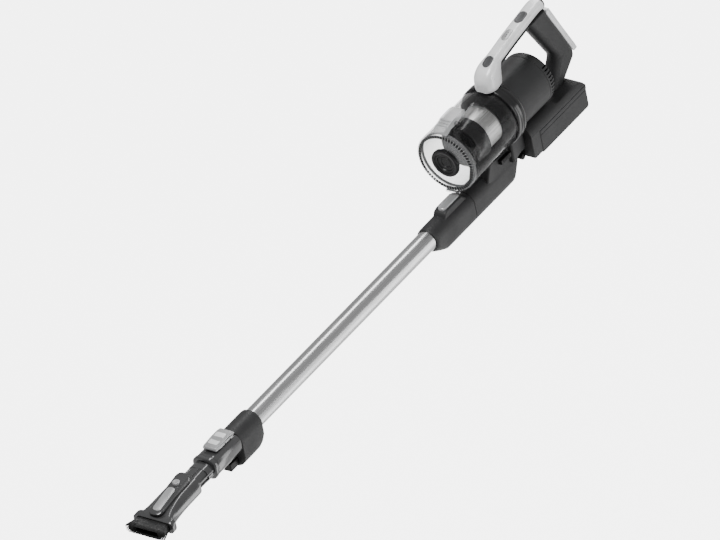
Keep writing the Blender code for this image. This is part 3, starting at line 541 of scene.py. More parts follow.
def make_latch():
    outline = filleted([(-6.3, 53.8), (1.6, 53.8), (7.6, 57.2), (28.0, 57.2), (49.6, 63.0), (50.6, 67.6),
        (40.0, 70.3), (16.0, 69.8), (-3.6, 63.6), (-6.8, 58.4)], 3.0)
    parts = [slab(outline, 11.3)]
    for y in (2.0, 7.0, 12.0):
        parts.append(slab(filleted([(y, 63.0 + y * 0.3), (y + 2.4, 63.6 + y * 0.3),
            (y + 2.4, 66.8 + y * 0.33), (y, 66.2 + y * 0.33)], 0.5), 8.6))
    add_piece("latch_tab", merge(*parts), LATCH_CLEAR, "latch", ["lid_latch"], bevel=0.9)
    pin = [(0.0, -14.8), (1.1, -14.8), (1.1, 14.8), (0.0, 14.8)]
    add_piece("latch_pin", turned_mesh(pin, axis="X", steps=24, centre=(0.0, 22.0, 61.0)), TURNED, "cup",
        ["lid_latch_pin"])


def make_cyclone():
    shroud = [(0.0, 37.0), (34.6, 37.0), (35.8, 37.5), (36.1, 38.4), (38.3, 63.6), (38.3, 65.0),
        (36.5, 65.0), (34.6, 39.4), (0.0, 39.2)]
    add_piece("shroud_cone", turned_mesh(shroud, steps=128), GLOSS, "cup", ["cyclone_shroud"])
    start, end = span("mesh_filter", 1)
    add_piece("mesh_screen", turned_mesh(ring_profile(33.5, 32.4, start, end), steps=128), MESH, "cup",
        ["mesh_filter"])
    hoops = []
    for y in (start + 19.6, end - 2.2):
        hoop = [(33.9, y), (34.1, y + 0.5), (34.1, y + 1.5), (33.9, y + 2.0), (33.3, y + 2.0), (33.3, y)]
        hoops.append(turned_mesh(hoop, steps=128))
    add_piece("screen_hoops", merge(*hoops), BUTTON_GREY, "cup")
    base = [(20.2, 105.2), (34.6, 105.2), (35.2, 105.6), (49.6, 113.4), (50.1, 114.2), (50.1, 120.6),
        (20.2, 120.6)]
    add_piece("cyclone_plate", turned_mesh(base, steps=128), GLOSS, "cup", ["cyclone_base"])


# ------------------------------------------------------------------ motor section

def make_collar():
    start = span("housing_collar", 1)[0]
    end = HOUSING_Y[0] - 0.3
    profile = [(53.1, start), (54.0, start + 0.8), (54.4, start + 1.4), (54.4, start + 6.4),
        (53.7, start + 6.9), (53.7, start + 8.1), (54.4, start + 8.6), (54.4, start + 12.6),
        (53.4, start + 13.3), (53.4, start + 14.7), (54.3, start + 15.4), (54.0, start + 18.6),
        (52.8, end - 2.2), (50.6, end - 0.2), (44.2, end), (44.2, start)]
    add_piece("collar_ring", turned_mesh(profile, steps=128), GLOSS, "hand_unit", ["housing_collar"])


def make_housing():
    start, end = HOUSING_Y
    profile = [(45.2, start), (46.0, start + 0.8), (46.0, end - 0.4), (45.6, end), (43.6, end),
        (43.6, start)]
    add_piece("motor_shell", turned_mesh(profile, steps=128), BODY, "hand_unit", ["motor_housing"])


def make_cover():
    """Rounded rear cover with a band of narrow vents on each side."""
    start, end = COVER_Y
    rim = 34.0
    profile = [(45.6, start), (46.0, start + 0.4)]
    for i in range(13):
        angle = math.pi / 2 * i / 12
        profile.append((rim + (46.0 - rim) * math.cos(angle), end - 13.0 + 13.0 * math.sin(angle)))
    profile += [(24.0, end), (23.2, end - 0.6), (0.0, end - 0.6), (0.0, end - 2.6), (rim - 1.0, end - 2.6)]
    for i in range(7):
        angle = math.pi / 2 * (1 - i / 6)
        profile.append((rim - 1.0 + 10.6 * math.cos(angle), end - 13.0 + 10.4 * math.sin(angle)))
    profile.append((43.6, start))
    cover = add_piece("rear_cap", turned_mesh(profile, steps=144), BODY, "hand_unit", ["rear_cover"])
    slots = []
    for side in (-1, 1):
        for i in range(9):
            ring = rectangle(1.25, 6.5, -6.5, 1.2, 4)
            low = [(x, 232.0 + y, 39.0) for x, y in ring]
            high = [(x, 232.0 + y, 52.0) for x, y in ring]
            slot = skin([low, high])
            slot.transform(Matrix.Rotation(side * math.radians(48.0 + i * 7.6), 4, "Y"))
            slots.append(slot)
    cut(cover, merge(*slots), "vents")


# ------------------------------------------------------------------ body, dock and battery

def make_body():
    front = span("main_body", 1)[0]
    lower = WAND_Z - 17.0
    rings = [obround(front, 19.4, WAND_Z, lower), obround(front + 0.7, 20.0, WAND_Z, lower)]
    for i in range(1, 6):
        t = i / 6
        rings.append(obround(front + 0.7 + (134.0 - front) * t, 20.0, WAND_Z, lower, shear=0.52 * t))
    rings.append(obround(133.0, 20.0, WAND_Z, lower, shear=0.52))
    rings.append(obround(134.0, 19.3, WAND_Z, lower, shear=0.52))
    neck = [(62.0, -84.0), (74.0, -60.0), (84.0, -44.0), (162.8, -32.5), (162.8, -81.4), (148.0, -81.4),
        (120.0, -96.0), (80.0, -92.0)]
    column = [(127.0, -88.0), (147.0, -80.6), (162.2, -80.6), (162.2, -35.4), (127.0, -35.4)]
    body = add_piece("inlet_body", skin(rings), BODY, "hand_unit", ["main_body"])
    join(body, plate(neck, 18.5, 3.0), "neck_guide")
    join(body, plate(column, 25.8, 4.0), "column_guide")
    cup_room = turned_mesh([(0.0, -20.0), (53.3, -20.0), (53.3, 121.0), (54.8, 121.0), (54.8, 146.3),
        (46.4, 146.3), (46.4, 250.0), (0.0, 250.0)], steps=144)
    bore = turned_mesh([(0.0, 0.0), (16.2, 0.0), (16.2, 112.0), (0.0, 112.0)], centre=(0, 0, WAND_Z),
        steps=64)
    recess = box_mesh((14.0, 97.5, -70.5), (30.0, 124.5, -61.5))
    cut(body, cup_room, "cup_room")
    cut(body, bore, "duct")
    cut(body, recess, "release_recess")
    soften(body, 0.35, 2)


def make_release_slider():
    low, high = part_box("cup_release_button")
    first = (low - ORIGIN) / MM
    last = (high - ORIGIN) / MM
    parts = [box_mesh(first, last)]
    for i in range(5):
        y = first.y + 5.0 + i * 3.8
        parts.append(box_mesh((last.x - 0.3, y, first.z + 1.4), (last.x + 0.6, y + 1.5, last.z - 1.4)))
    add_piece("cup_slider", merge(*parts), SATIN_BLACK, "cup_release", ["cup_release_button"], bevel=0.7)


def dock_shoulder(side, radius=19.0, base=-62.0):
    """What lies outside the dock's rounded shoulder on one side."""
    section = [(BATTERY_HALF + 10.0, base)]
    for i in range(25):
        angle = math.pi / 2 * i / 24
        section.append((BATTERY_HALF - radius * (1 - math.cos(angle)), base + radius * math.sin(angle)))
    section += [(BATTERY_HALF - radius, -20.0), (BATTERY_HALF + 10.0, -20.0)]
    return skin([[(side * x, y, z) for x, z in section] for y in (150.0, 330.0)])


def make_dock():
    outline = [(163.6, -99.0), (168.0, -101.0), (186.5, -101.0), (186.5, -62.9), (316.6, -62.9),
        (313.2, -55.7), (306.0, -50.2), (244.0, -50.2), (236.0, -38.2), (163.6, -38.2)]
    dock = add_piece("dock_body", plate(outline, BATTERY_HALF, 1.3, 4), BODY, "hand_unit", ["battery_dock"])
    room = turned_mesh([(0.0, 140.0), (46.4, 140.0), (46.4, 226.0), (44.0, 243.0), (0.0, 243.0)], steps=144)
    cut(dock, dock_shoulder(1), "right_shoulder")
    cut(dock, dock_shoulder(-1), "left_shoulder")
    cut(dock, room, "motor_room")
    soften(dock, 0.4, 2)
    bar = [(0.0, -21.5), (4.2, -21.5), (5.1, -20.9), (5.5, -19.8), (5.5, 19.8), (5.1, 20.9), (4.2, 21.5),
        (0.0, 21.5)]
    add_piece("dock_knob", turned_mesh(bar, axis="X", steps=48, centre=(0.0, 157.5, -95.5)), SATIN_BLACK,
        "hand_unit", ["dock_boss"])


def make_battery():
    """Battery with a rounded belly; the lid's parting line runs along its side."""
    first, last = BATTERY_Y
    bottom, top = BATTERY_Z
    case_top = top - 8.1
    stations = []
    for t, inset in ((0.0, 4.6), (0.6, 2.6), (1.8, 1.1), (3.4, 0.3), (5.0, 0.0)):
        stations.append((first + t, BATTERY_HALF - inset * 0.4, bottom + inset, 5.0))
    stations.append(((first + last) / 2, BATTERY_HALF, bottom, 5.0))
    for t, inset in ((6.0, 0.0), (4.0, 0.5), (2.2, 1.5), (0.8, 3.2), (0.0, 5.6)):
        stations.append((last - t, BATTERY_HALF - inset * 0.7, bottom + inset, 5.0))
    rings = [rounded_ring(y, half, low, case_top + 40.0, radius, corner=12) for y, half, low,
        radius in stations]
    case = add_piece("battery_shell", skin(rings), BODY, "battery", ["battery_case"])
    cut(case, box_mesh((-60.0, first - 20.0, case_top), (60.0, last + 20.0, 20.0)), "case_trim")
    cut(case, box_mesh((-9.0, last - 7.0, -90.0), (9.0, last + 7.0, -80.0)), "release_hole")
    soften(case, 0.4, 2)
    lid_stations = [(first, 1.8), (first + 0.8, 0.7), (first + 2.6, 0.0), (last - 3.6, 0.0),
        (last - 1.0, 1.2), (last, 3.6)]
    lid_rings = [rounded_ring(y, BATTERY_HALF - inset, case_top + 0.4, top, 0.8, corner=6) for y,
        inset in lid_stations]
    add_piece("battery_lid", skin(lid_rings), BODY, "battery", ["battery_top"])
    low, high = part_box("battery_release")
    add_piece("battery_key", box_mesh((low - ORIGIN) / MM, (high - ORIGIN) / MM), BUTTON_GREY,
        "battery_button", ["battery_release"], bevel=0.9)


# ------------------------------------------------------------------ handle

BAR = ((156.0, 88.7), (178.0, 93.2), (200.0, 97.6), (230.0, 102.0), (262.0, 106.6), (274.0, 107.6),
    (284.0, 106.4))


def bar_height(y):
    for (y0, z0), (y1, z1) in zip(BAR, BAR[1:]):
        if y <= y1:
            return z0 + (z1 - z0) * (y - y0) / (y1 - y0)
    return BAR[-1][1]


def oval_mesh(y, z, half_length, half_width, levels, tilt, steps=20):
    """An oval lying along the bar: levels are (height above the surface, inset)."""
    rings = []
    for height, inset in levels:
        straight = half_length - half_width
        radius = half_width - inset
        points = []
        for end, start in ((1, -math.pi / 2), (-1, math.pi / 2)):
            for i in range(steps + 1):
                angle = start + math.pi * i / steps
                along = end * straight + radius * math.cos(angle)
                up = z + along * math.sin(tilt) + height * math.cos(tilt)
                back = y + along * math.cos(tilt) - height * math.sin(tilt)
                points.append((radius * math.sin(angle), back, up))
        rings.append(points)
    return skin(rings)


def make_bar():
    rows = [(111.0, 7.6, 52.0, 68.4, 6.0), (112.2, 10.6, 50.5, 72.4, 7.0), (115.0, 13.7, 50.0, 76.9, 8.5),
        (121.0, 16.5, 48.0, 83.7, 10.0), (130.0, 17.0, 44.0, 89.9, 10.0), (140.0, 15.7, 40.0, 93.9, 9.5),
        (149.0, 13.6, 47.0, 96.3, 8.5), (154.5, 12.7, 72.0, 97.2, 7.6), (160.0, 12.4, 81.0, 98.4, 7.4)]
    for y, z in BAR[1:]:
        rows.append((y, 12.4, z - 8.7, z + 8.7, 7.4))
    rings = [rounded_ring(y, half, low, high, radius, corner=10) for y, half, low, high,
        radius in smooth_between(rows)]
    bar = add_piece("handle_shell", skin(rings), PEARL, "hand_unit", ["handle_bar"])
    cut(bar, turned_mesh([(0.0, 100.0), (54.8, 100.0), (54.8, 146.4), (46.4, 146.4), (46.4, 200.0),
        (0.0, 200.0)], steps=144), "collar_room")
    return bar


def make_controls(bar):
    power_low, power_high = span("power_button", 1)
    mode_low, mode_high = span("mode_button", 1)
    lens_low, lens_high = span("display_lens", 1)
    places = (("power_key", "power_button", "power", (power_low + power_high) / 2 + 0.4, 13.0, 7.0, None),
        ("mode_key", "mode_button", "mode", (mode_low + mode_high) / 2 + 0.6, 11.0, 7.0, 94.0))
    for name, node, body, y, length, width, height in places:
        surface = height or bar_height(y) + 8.7
        tilt = math.radians(17.0) if height else math.atan2(bar_height(y + 5) - bar_height(y - 5), 10.0)
        cut(bar, oval_mesh(y, surface, length + 0.4, width + 0.4, ((-5.0, 0.0), (8.0, 0.0)), tilt),
            node + "_hole")
        levels = ((-2.6, 0.0), (0.2, 0.0), (0.75, 0.3), (1.0, 1.0), (0.75, 2.6))
        add_piece(name, oval_mesh(y, surface, length, width, levels, tilt), BUTTON_GREY, body, [node])
    y = (lens_low + lens_high) / 2
    surface = bar_height(y) + 8.7
    tilt = math.atan2(bar_height(y + 5) - bar_height(y - 5), 10.0)
    cut(bar, oval_mesh(y, surface, 12.4, 6.0, ((-1.4, 0.0), (5.0, 0.0)), tilt), "lens_recess")
    add_piece("display_window", oval_mesh(y, surface, 12.0, 5.6, ((-1.1, 0.0), (-0.1, 0.0), (0.15, 0.4)),
        tilt), KEY_GREY, "hand_unit", ["display_lens"])
    lamps = []
    for offset in (-4.5, 0.0, 4.5):
        lamps.append(oval_mesh(y + offset, surface + offset * math.tan(tilt), 0.9, 0.85,
            ((0.1, 0.0), (0.35, 0.1)), tilt, 10))
    add_piece("display_lamps", merge(*lamps), GLOSS, "hand_unit")
    soften(bar, 0.4, 2)


def make_liner_and_cap():
    rows = []
    for y in (158.0, 164.0, 178.0, 200.0, 230.0, 242.0):
        low = bar_height(y) - 8.8
        rows.append((y, 10.3, low - 4.1, low - 0.35, 1.7))
    rings = [rounded_ring(y, half, low, high, radius, corner=6) for y, half, low, high,
        radius in smooth_between(rows)]
    add_piece("liner_strip", skin(rings), BODY, "hand_unit", ["handle_liner"])
    start, end = span("handle_end_cap", 1)
    middle = sum(span("handle_end_cap", 2)) / 2
    rings = []
    for t, inset in ((0.0, 0.0), (0.35, 0.2), (0.62, 0.9), (0.84, 2.0), (1.0, 3.4)):
        half = 8.75 - inset
        rings.append(rounded_ring(start + (end - start) * t, 12.4 - inset, middle - half, middle + half,
            7.0, 8))
    add_piece("end_cap", skin(rings), SATIN_BLACK, "hand_unit", ["handle_end_cap"])


def make_grip():
    """The grip's stem and foot, rounded for the palm, with a pale strip down its back."""
    outline = [(229.4, 112.7), (294.7, -2.6), (253.3, -68.0), (281.9, -68.0), (341.4, -22.5), (318.0, 32.0),
        (291.4, 87.5), (279.0, 125.0)]
    grip = add_piece("grip_body", plate(outline, 14.4, 12.0, 10), GRIP, "hand_unit", ["grip"])
    room = [(200.0, bar_height(200.0) - 13.3), (242.6, bar_height(242.6) - 13.3),
        (243.0, bar_height(243.0) - 9.2), (262.0, bar_height(262.0) - 9.2),
        (284.0, bar_height(284.0) - 9.2), (330.0, bar_height(284.0) - 9.2), (330.0, 130.0), (200.0, 130.0)]
    cut(grip, slab(room, 30.0), "bar_room")
    cut(grip, box_mesh((-30.0, 240.0, -80.0), (30.0, 330.0, -49.6)), "foot_trim")
    soften(grip, 0.4, 2)
    strip = [(297.2, 92.4), (289.2, 92.4), (287.9, 87.6), (314.3, 32.2), (338.3, -18.8), (347.8, -17.8),
        (344.0, -8.0), (324.0, 34.0)]
    add_piece("back_strip", plate(strip, 11.6, 1.8, 5), PEARL, "hand_unit", ["grip_back_strip"])


# ------------------------------------------------------------------ wand

def make_coupling():
    first = COUPLING_Y[0]
    lower = WAND_Z - 17.0
    rows = [(first, 18.6, WAND_Z - 1.6), (first + 0.8, 19.2, WAND_Z - 2.4),
        (first + 6.0, 19.8, WAND_Z - 5.0), (first + 18.0, 20.0, WAND_Z - 11.4),
        (first + 29.0, 20.0, WAND_Z - 16.6), (first + 34.0, 20.0, lower), (20.2, 20.0, lower),
        (20.9, 19.4, lower)]
    rings = [obround(y, half, WAND_Z, low) for y, half, low in rows]
    coupling = add_piece("coupling_body", skin(rings), BODY, "wand", ["wand_coupling"])
    boss = [(-48.0, 16.0), (-43.0, 25.0), (-36.0, 27.9), (3.0, 27.9), (13.8, 18.0), (13.8, 10.0),
        (-48.0, 10.0)]
    join(coupling, plate([(y, WAND_Z + z) for y, z in boss], 11.4, 2.4), "boss_guide")
    bore = [(0.0, first - 5.0), (17.3, first - 5.0), (17.3, -22.0), (13.5, -22.0), (13.5, 60.0),
        (0.0, 60.0)]
    cut(coupling, turned_mesh(bore, centre=(0, 0, WAND_Z), steps=80), "tube_bore")
    well = rectangle(8.4, -40.5, 6.5, 7.6, 10)
    cut(coupling, skin([[(x, y, WAND_Z + 19.0) for x, y in well],
        [(x, y, WAND_Z + 40.0) for x, y in well]]), "button_well")
    soften(coupling, 0.4, 2)
    spigot = [(13.5, 21.2), (15.9, 21.2), (15.9, 70.0), (15.2, COUPLING_Y[1]), (13.5, COUPLING_Y[1])]
    add_piece("coupling_spigot", turned_mesh(spigot, centre=(0, 0, WAND_Z), steps=80), BODY, "wand")
    rows = []
    for z, inset in ((21.6, 0.6), (28.2, 0.3), (29.8, 0.8), (30.5, 1.8), (30.2, 4.2)):
        edge = rectangle(7.9 - inset, -39.8 + inset, 5.8 - inset, 7.2 - inset, 10)
        rows.append([(x, y, WAND_Z + z) for x, y in edge])
    add_piece("coupling_key", skin(rows), KEY_GREY, "wand_button", ["wand_release_button"])


def make_tube():
    first, last = TUBE_Y
    profile = [(17.0, first), (17.0, last), (15.7, last), (15.7, first)]
    add_piece("tube_metal", turned_mesh(profile, centre=(0, 0, WAND_Z), steps=128), TUBE, "wand",
        ["wand_tube"])


def make_lower_collar():
    first, last = LOW_COLLAR_Y
    lower = WAND_Z - 24.8
    rows = [(first, 20.9, lower), (first + 0.6, 21.5, lower), (first + 30.0, 21.5, lower),
        (last - 13.0, 21.5, lower + 0.6), (last - 6.0, 21.4, lower + 4.0), (last - 1.2, 21.0, lower + 9.6),
        (last, 20.2, lower + 12.0)]
    rings = [obround(y, half, WAND_Z, low) for y, half, low in rows]
    collar = add_piece("lower_collar_body", skin(rings), BODY, "wand", ["wand_lower_collar"])
    bore = [(0.0, first - 5.0), (16.2, first - 5.0), (16.2, TUBE_Y[0]), (17.3, TUBE_Y[0]),
        (17.3, last + 5.0), (0.0, last + 5.0)]
    cut(collar, turned_mesh(bore, centre=(0, 0, WAND_Z), steps=80), "collar_bore")
    soften(collar, 0.5, 3)
    low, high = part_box("contact_plug")
    add_piece("contact_block", box_mesh((low - ORIGIN) / MM, (high - ORIGIN) / MM), SATIN_BLACK, "wand",
        ["contact_plug"], bevel=1.4)


# ------------------------------------------------------------------ dusting tool

def flat_rings(rows, corner=10):
    """Rows are (y, half width, half height, corner radius, drop below the tube's axis)."""
    rings = []
    for y, half_width, half_height, radius, drop in rows:
        middle = WAND_Z - drop
        rings.append(rounded_ring(y, half_width, middle - half_height, middle + half_height, radius,
            corner))
    return rings


def make_neck():
    front = NECK_Y[0]
    back = LOW_COLLAR_Y[0] - 0.3
    rows = ((front, 20.6, 17.1, 12.8, 0.0), (front + 0.5, 21.4, 17.9, 13.4, 0.0),
        (front + 1.6, 22.2, 18.7, 14.2, 0.0), (-700.2, 22.2, 18.7, 14.2, 0.0),
        (-699.2, 21.9, 18.4, 14.0, 0.0), (-698.6, 20.5, 17.0, 12.7, 0.0), (-696.4, 20.5, 17.0, 12.7, 0.0),
        (-695.8, 21.0, 17.5, 13.0, 0.0), (back - 1.4, 21.0, 17.5, 13.0, 0.0), (back, 20.2, 16.7, 12.4, 0.0))
    neck = add_piece("neck_body", skin(flat_rings(rows)), SMOKE, "tool", ["tool_neck"])
    cut(neck, turned_mesh([(0.0, front - 5.0), (13.5, front - 5.0), (13.5, -600.0), (0.0, -600.0)],
        centre=(0, 0, WAND_Z), steps=64), "neck_bore")
    spigot = [(13.5, back), (15.9, back), (15.9, -604.0), (15.2, -603.0), (13.5, -603.0)]
    add_piece("neck_spigot", turned_mesh(spigot, centre=(0, 0, WAND_Z), steps=80), SMOKE, "tool")
    ears = []
    for side in (-1, 1):
        ears.append(box_mesh((side * 8.6 - 1.2, -666.8, WAND_Z + 14.0),
            (side * 8.6 + 1.2, -657.2, WAND_Z + 22.8)))
    add_piece("rocker_ears", merge(*ears), SMOKE, "tool")


def make_rocker():
    outline = filleted([(-687.0, 20.6), (-673.0, 18.3), (-651.0, 18.3), (-637.0, 20.6), (-634.8, 22.5),
        (-638.0, 26.4), (-646.0, 28.3), (-664.0, 28.5), (-685.0, 26.3), (-687.3, 24.0)], 1.6)
    outline = [(y, WAND_Z + z) for y, z in outline]
    rocker = add_piece("rocker_key", pillow(outline, 12.4, 1.4), KEY_GREY, "tool_rocker",
        ["tool_release_rocker"])
    slots = []
    for side in (-1, 1):
        slots.append(box_mesh((side * 8.6 - 1.7, -669.0, WAND_Z + 10.0),
            (side * 8.6 + 1.7, -655.0, WAND_Z + 24.4)))
    cut(rocker, merge(*slots), "rocker_slots")
    pin_bore = turned_mesh([(0.0, -13.0), (1.5, -13.0), (1.5, 13.0), (0.0, 13.0)], axis="X", steps=32,
        centre=(0.0, -662.0, WAND_Z + 20.6))
    cut(rocker, pin_bore, "rocker_bore")
    pad = rectangle(9.0, -678.0, -650.0, 3.0)
    levels = []
    for height, inset in ((27.2, 0.0), (28.75, 0.3), (28.9, 1.0)):
        levels.append([(x * (1 - inset / 9), y, WAND_Z + height - max(0.0, -664.0 - y) * 0.1) for x,
            y in pad])
    add_piece("rocker_pad", skin(levels), PEARL, "tool_rocker")


def make_nozzle():
    front, back = span("crevice_nozzle", 1)
    outer = ((back, 17.0, 12.0, 11.9, 0.0), (-752.0, 17.0, 11.0, 10.9, 0.0), (-795.0, 17.5, 4.8, 4.7, 3.5),
        (front, 17.5, 3.8, 3.7, 5.0))
    inner = ((back + 4.0, 15.4, 10.6, 10.5, 0.0), (-752.0, 15.4, 9.6, 9.5, 0.0),
        (-795.0, 15.8, 3.5, 3.4, 3.5), (front - 4.0, 15.8, 2.5, 2.4, 5.0))
    nozzle = add_piece("nozzle_tube", skin(flat_rings(outer)), SMOKE, "tool", ["crevice_nozzle"])
    cut(nozzle, skin(flat_rings(inner)), "nozzle_bore")
    rails = []
    for side in (-1, 1):
        for z in (-4.6, 3.2):
            rails.append(box_mesh((side * 17.9 - 1.2, -749.0, WAND_Z + z),
                (side * 17.9 + 1.2, back - 3.0, WAND_Z + z + 1.4)))
    rails.append(box_mesh((-3.2, -749.0, WAND_Z + 10.6), (3.2, back - 3.0, WAND_Z + 12.3)))
    hoop = flat_rings(((-723.0, 18.0, 11.6, 11.5, 0.0), (-722.4, 19.4, 12.6, 12.5, 0.0),
        (-711.6, 19.4, 12.6, 12.5, 0.0), (-711.0, 18.0, 11.6, 11.5, 0.0)))
    add_piece("nozzle_rails", merge(skin(hoop), *rails), SMOKE, "tool", bevel=0.3, segments=2)


def make_sleeve():
    back, mouth = SLEEVE_Y[1], SLEEVE_Y[0]
    body = ((back, 22.4, 14.6, 11.6, 0.0), (back - 0.8, 23.2, 15.2, 12.0, 0.0),
        (-770.0, 23.5, 15.1, 12.0, 0.4), (-792.0, 24.0, 14.7, 12.0, 1.0), (-812.0, 25.2, 13.6, 11.0, 2.2),
        (-826.0, 26.8, 12.5, 10.0, 3.4), (-836.6, 29.4, 11.4, 9.0, 4.4))
    lip = ((-837.4, 34.4, 11.4, 8.4, 4.7), (-838.4, 36.2, 11.4, 8.4, 4.8), (-840.0, 36.8, 11.2, 8.2, 4.8),
        (mouth + 0.8, 37.3, 10.0, 7.4, 5.0), (mouth, 36.8, 9.4, 7.0, 5.0))
    rows = smooth_between(body, 4) + list(lip)
    sleeve = add_piece("sleeve_body", skin(flat_rings(rows)), SMOKE, "brush", ["brush_sleeve"])
    inner = ((back + 5.0, 20.0, 13.0, 10.0, 0.0), (-800.0, 20.5, 12.3, 10.0, 1.0),
        (-826.0, 22.6, 10.4, 8.0, 3.0), (-837.0, 25.0, 9.2, 6.5, 4.0), (mouth - 6.0, 33.5, 7.6, 5.5, 5.0))
    cut(sleeve, skin(flat_rings(inner)), "sleeve_room")
    soften(sleeve, 0.3, 2)
    make_sleeve_panel(back)


def make_sleeve_panel(back):
    """Raised oval panel on the sleeve, with a lighter oval inlay and a round lock button."""
    front, rear = -845.5, back - 1.8

    def top(y):
        return WAND_Z + 11.5 + 14.2 * min(1.0, max(0.0, (y - front) / 78.0)) ** 0.8

    rings = []
    for share, inset in ((0.0, 0.0), (0.82, 0.0), (0.93, 0.7), (1.0, 2.0)):
        edge = rectangle(11.9 - inset, front + inset, rear - inset, 11.0 - inset, 14)
        base = WAND_Z + 9.4
        rings.append([(x, y, base + (top(y) - base) * share) for x, y in edge])
    panel = add_piece("sleeve_panel", skin(rings), SMOKE, "brush")
    hole = turned_mesh([(0.0, WAND_Z + 21.9), (6.3, WAND_Z + 21.9), (6.3, WAND_Z + 45.0),
        (0.0, WAND_Z + 45.0)], axis="Z", centre=(0.0, -778.0, 0.0), steps=48)
    cut(panel, hole, "lock_hole")
    edge = rectangle(7.4, -838.0, -789.0, 7.0, 12)
    inlay = [[(x * (1 - inset / 8), y, top(y) + height) for x, y in edge] for height,
        inset in ((-1.4, 0.0), (0.1, 0.0), (0.35, 0.5))]
    add_piece("sleeve_inlay", skin(inlay), KEY_GREY, "brush")
    low, high = span("brush_lock_button", 2)
    button = [(0.0, low), (6.0, low), (6.0, high - 0.9), (5.7, high - 0.3), (5.0, high), (3.6, high - 0.25),
        (0.0, high - 0.6)]
    add_piece("lock_button", turned_mesh(button, axis="Z", centre=(0.0, -778.0, 0.0), steps=64), KEY_GREY,
        "brush_lock", ["brush_lock_button"])


def strand(root, tip, width):
    """One bristle: a thin tapered prism with three sides."""
    rings = []
    for point, half in ((root, width), ((root + tip) / 2, width * 0.95), (tip, width * 0.55)):
        ring = []
        for i in range(3):
            angle = math.tau * i / 3
            ring.append((point.x + half * math.cos(angle), point.y, point.z + half * math.sin(angle)))
        rings.append(ring)
    return rings


def spaced(ring, count):
    """Points at equal steps along a closed ring."""
    points = [Vector(point) for point in ring]
    sides = list(zip(points, points[1:] + points[:1]))
    lengths = [(b - a).length for a, b in sides]
    step = sum(lengths) / count
    result = []
    start = 0.0
    for (a, b), length in zip(sides, lengths):
        while len(result) < count and len(result) * step < start + length:
            result.append(a.lerp(b, (len(result) * step - start) / length))
        start += length
    return result


def make_bristles():
    """Dense rows of nylon bristles round the mouth, splayed a little at their ends."""
    end = BRISTLES_Y[0] + 0.6
    seat = BRISTLES_Y[1] - 0.4
    bm = bmesh.new()
    middle = WAND_Z - 5.0
    for row in range(4):
        half_width = 28.2 - row * 2.3
        half_height = 6.8 - row * 0.22
        count = 260
        ring = rounded_ring(0.0, half_width, middle - half_height, middle + half_height, 4.6, corner=6)
        for spot in spaced(ring, count):
            root = Vector((spot.x, seat, spot.z))
            tip = Vector((spot.x * (1.0 + 0.28 * abs(spot.x) / 28.0) + RANDOM.uniform(-0.9, 0.9),
                end + RANDOM.uniform(0.0, 1.6), spot.z + (spot.z - middle) * 0.08 + RANDOM.uniform(-0.25,
                0.25)))
            loops = [[bm.verts.new(point) for point in points] for points in strand(root, tip, 0.5)]
            for near, far in zip(loops, loops[1:]):
                for k in range(3):
                    bm.faces.new((near[k], near[(k + 1) % 3], far[(k + 1) % 3], far[k]))
            bm.faces.new(loops[-1][::-1])
            bm.faces.new(loops[0])
    add_piece("bristle_tufts", bm, BRISTLE, "brush", ["bristles"], sharp=180.0)
    # the packed bristles filled in as one dark band up to 5 mm short of the tips, darker than the strands
    # as painted shade between them
    core = []
    for y, half_width, half_height in ((seat, 26.0, 6.2), (end + 5.0, 29.0, 6.8), (end + 5.0, 20.5, 5.9),
            (seat, 20.5, 5.9)):
        core.append(rounded_ring(y, half_width, middle - half_height, middle + half_height, 4.4, corner=8))
    add_piece("bristle_core", skin(core, loop=True), BRISTLE_MASS_SHADE, "brush")


# ------------------------------------------------------------------ kept CAD nodes

def finish_kept_nodes():
    looks = { "premotor_filter": FOAM, "exhaust_filter": PAPER, "motor_can": TURNED, "stator": COPPER,
        "front_bearing": TURNED, "rear_bearing": TURNED, "motor_mount": RUBBER, "motor_rotor": TURNED,
        "impeller": TUBE, "cyclone_cone": BODY, "battery_contacts": BRASS, "battery_board": BOARD,
        "control_board": BOARD, "wand_release_pin": TURNED, "tool_rocker_pin": SATIN_BLACK, }
    for i in range(1, 7):
        looks[f"cell_{i}"] = WRAP
    for node, material in looks.items():
        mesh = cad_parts[node].data
        mesh.materials.clear()
        mesh.materials.append(material)


# ------------------------------------------------------------------ stage

CAMERA_RIGHT = Vector((0.8213, 0.5489, -0.1575)).normalized()
CAMERA_BACK = Vector((0.526, -0.62, 0.582)).normalized()
CAMERA_AIM = Vector((-73.6, -168.7, -113.1))
CAMERA_DISTANCE = 35.53
CAMERA_LENS = 1150.0
FLOOR_DROP = 2.6
FLOOR_HALF = 14.0


def add_camera():
    right = (CAMERA_RIGHT - CAMERA_BACK * CAMERA_RIGHT.dot(CAMERA_BACK)).normalized()
    up = CAMERA_BACK.cross(right)
    data = bpy.data.cameras.new("camera")
    data.lens = CAMERA_LENS
    data.sensor_width = 36.0
    data.clip_end = 200.0
    camera = bpy.data.objects.new("camera", data)
    bpy.context.collection.objects.link(camera)
    place = ORIGIN + CAMERA_AIM * MM + CAMERA_BACK * CAMERA_DISTANCE
    turn = Matrix((right, up, CAMERA_BACK)).transposed().to_4x4()
    camera.matrix_world = Matrix.Translation(place) @ turn
    bpy.context.scene.camera = camera
    return right, up


def add_light(name, place, target, size, power, shape="RECTANGLE", size_y=None):
    data = bpy.data.lights.new(name, "AREA")
    data.shape = shape
    data.size = size
    data.size_y = size_y or size
    data.energy = power
    light = bpy.data.objects.new(name, data)
    bpy.context.collection.objects.link(light)
    light.location = place
    light.rotation_mode = "QUATERNION"
    light.rotation_quaternion = (target - place).to_track_quat("-Z", "Y")


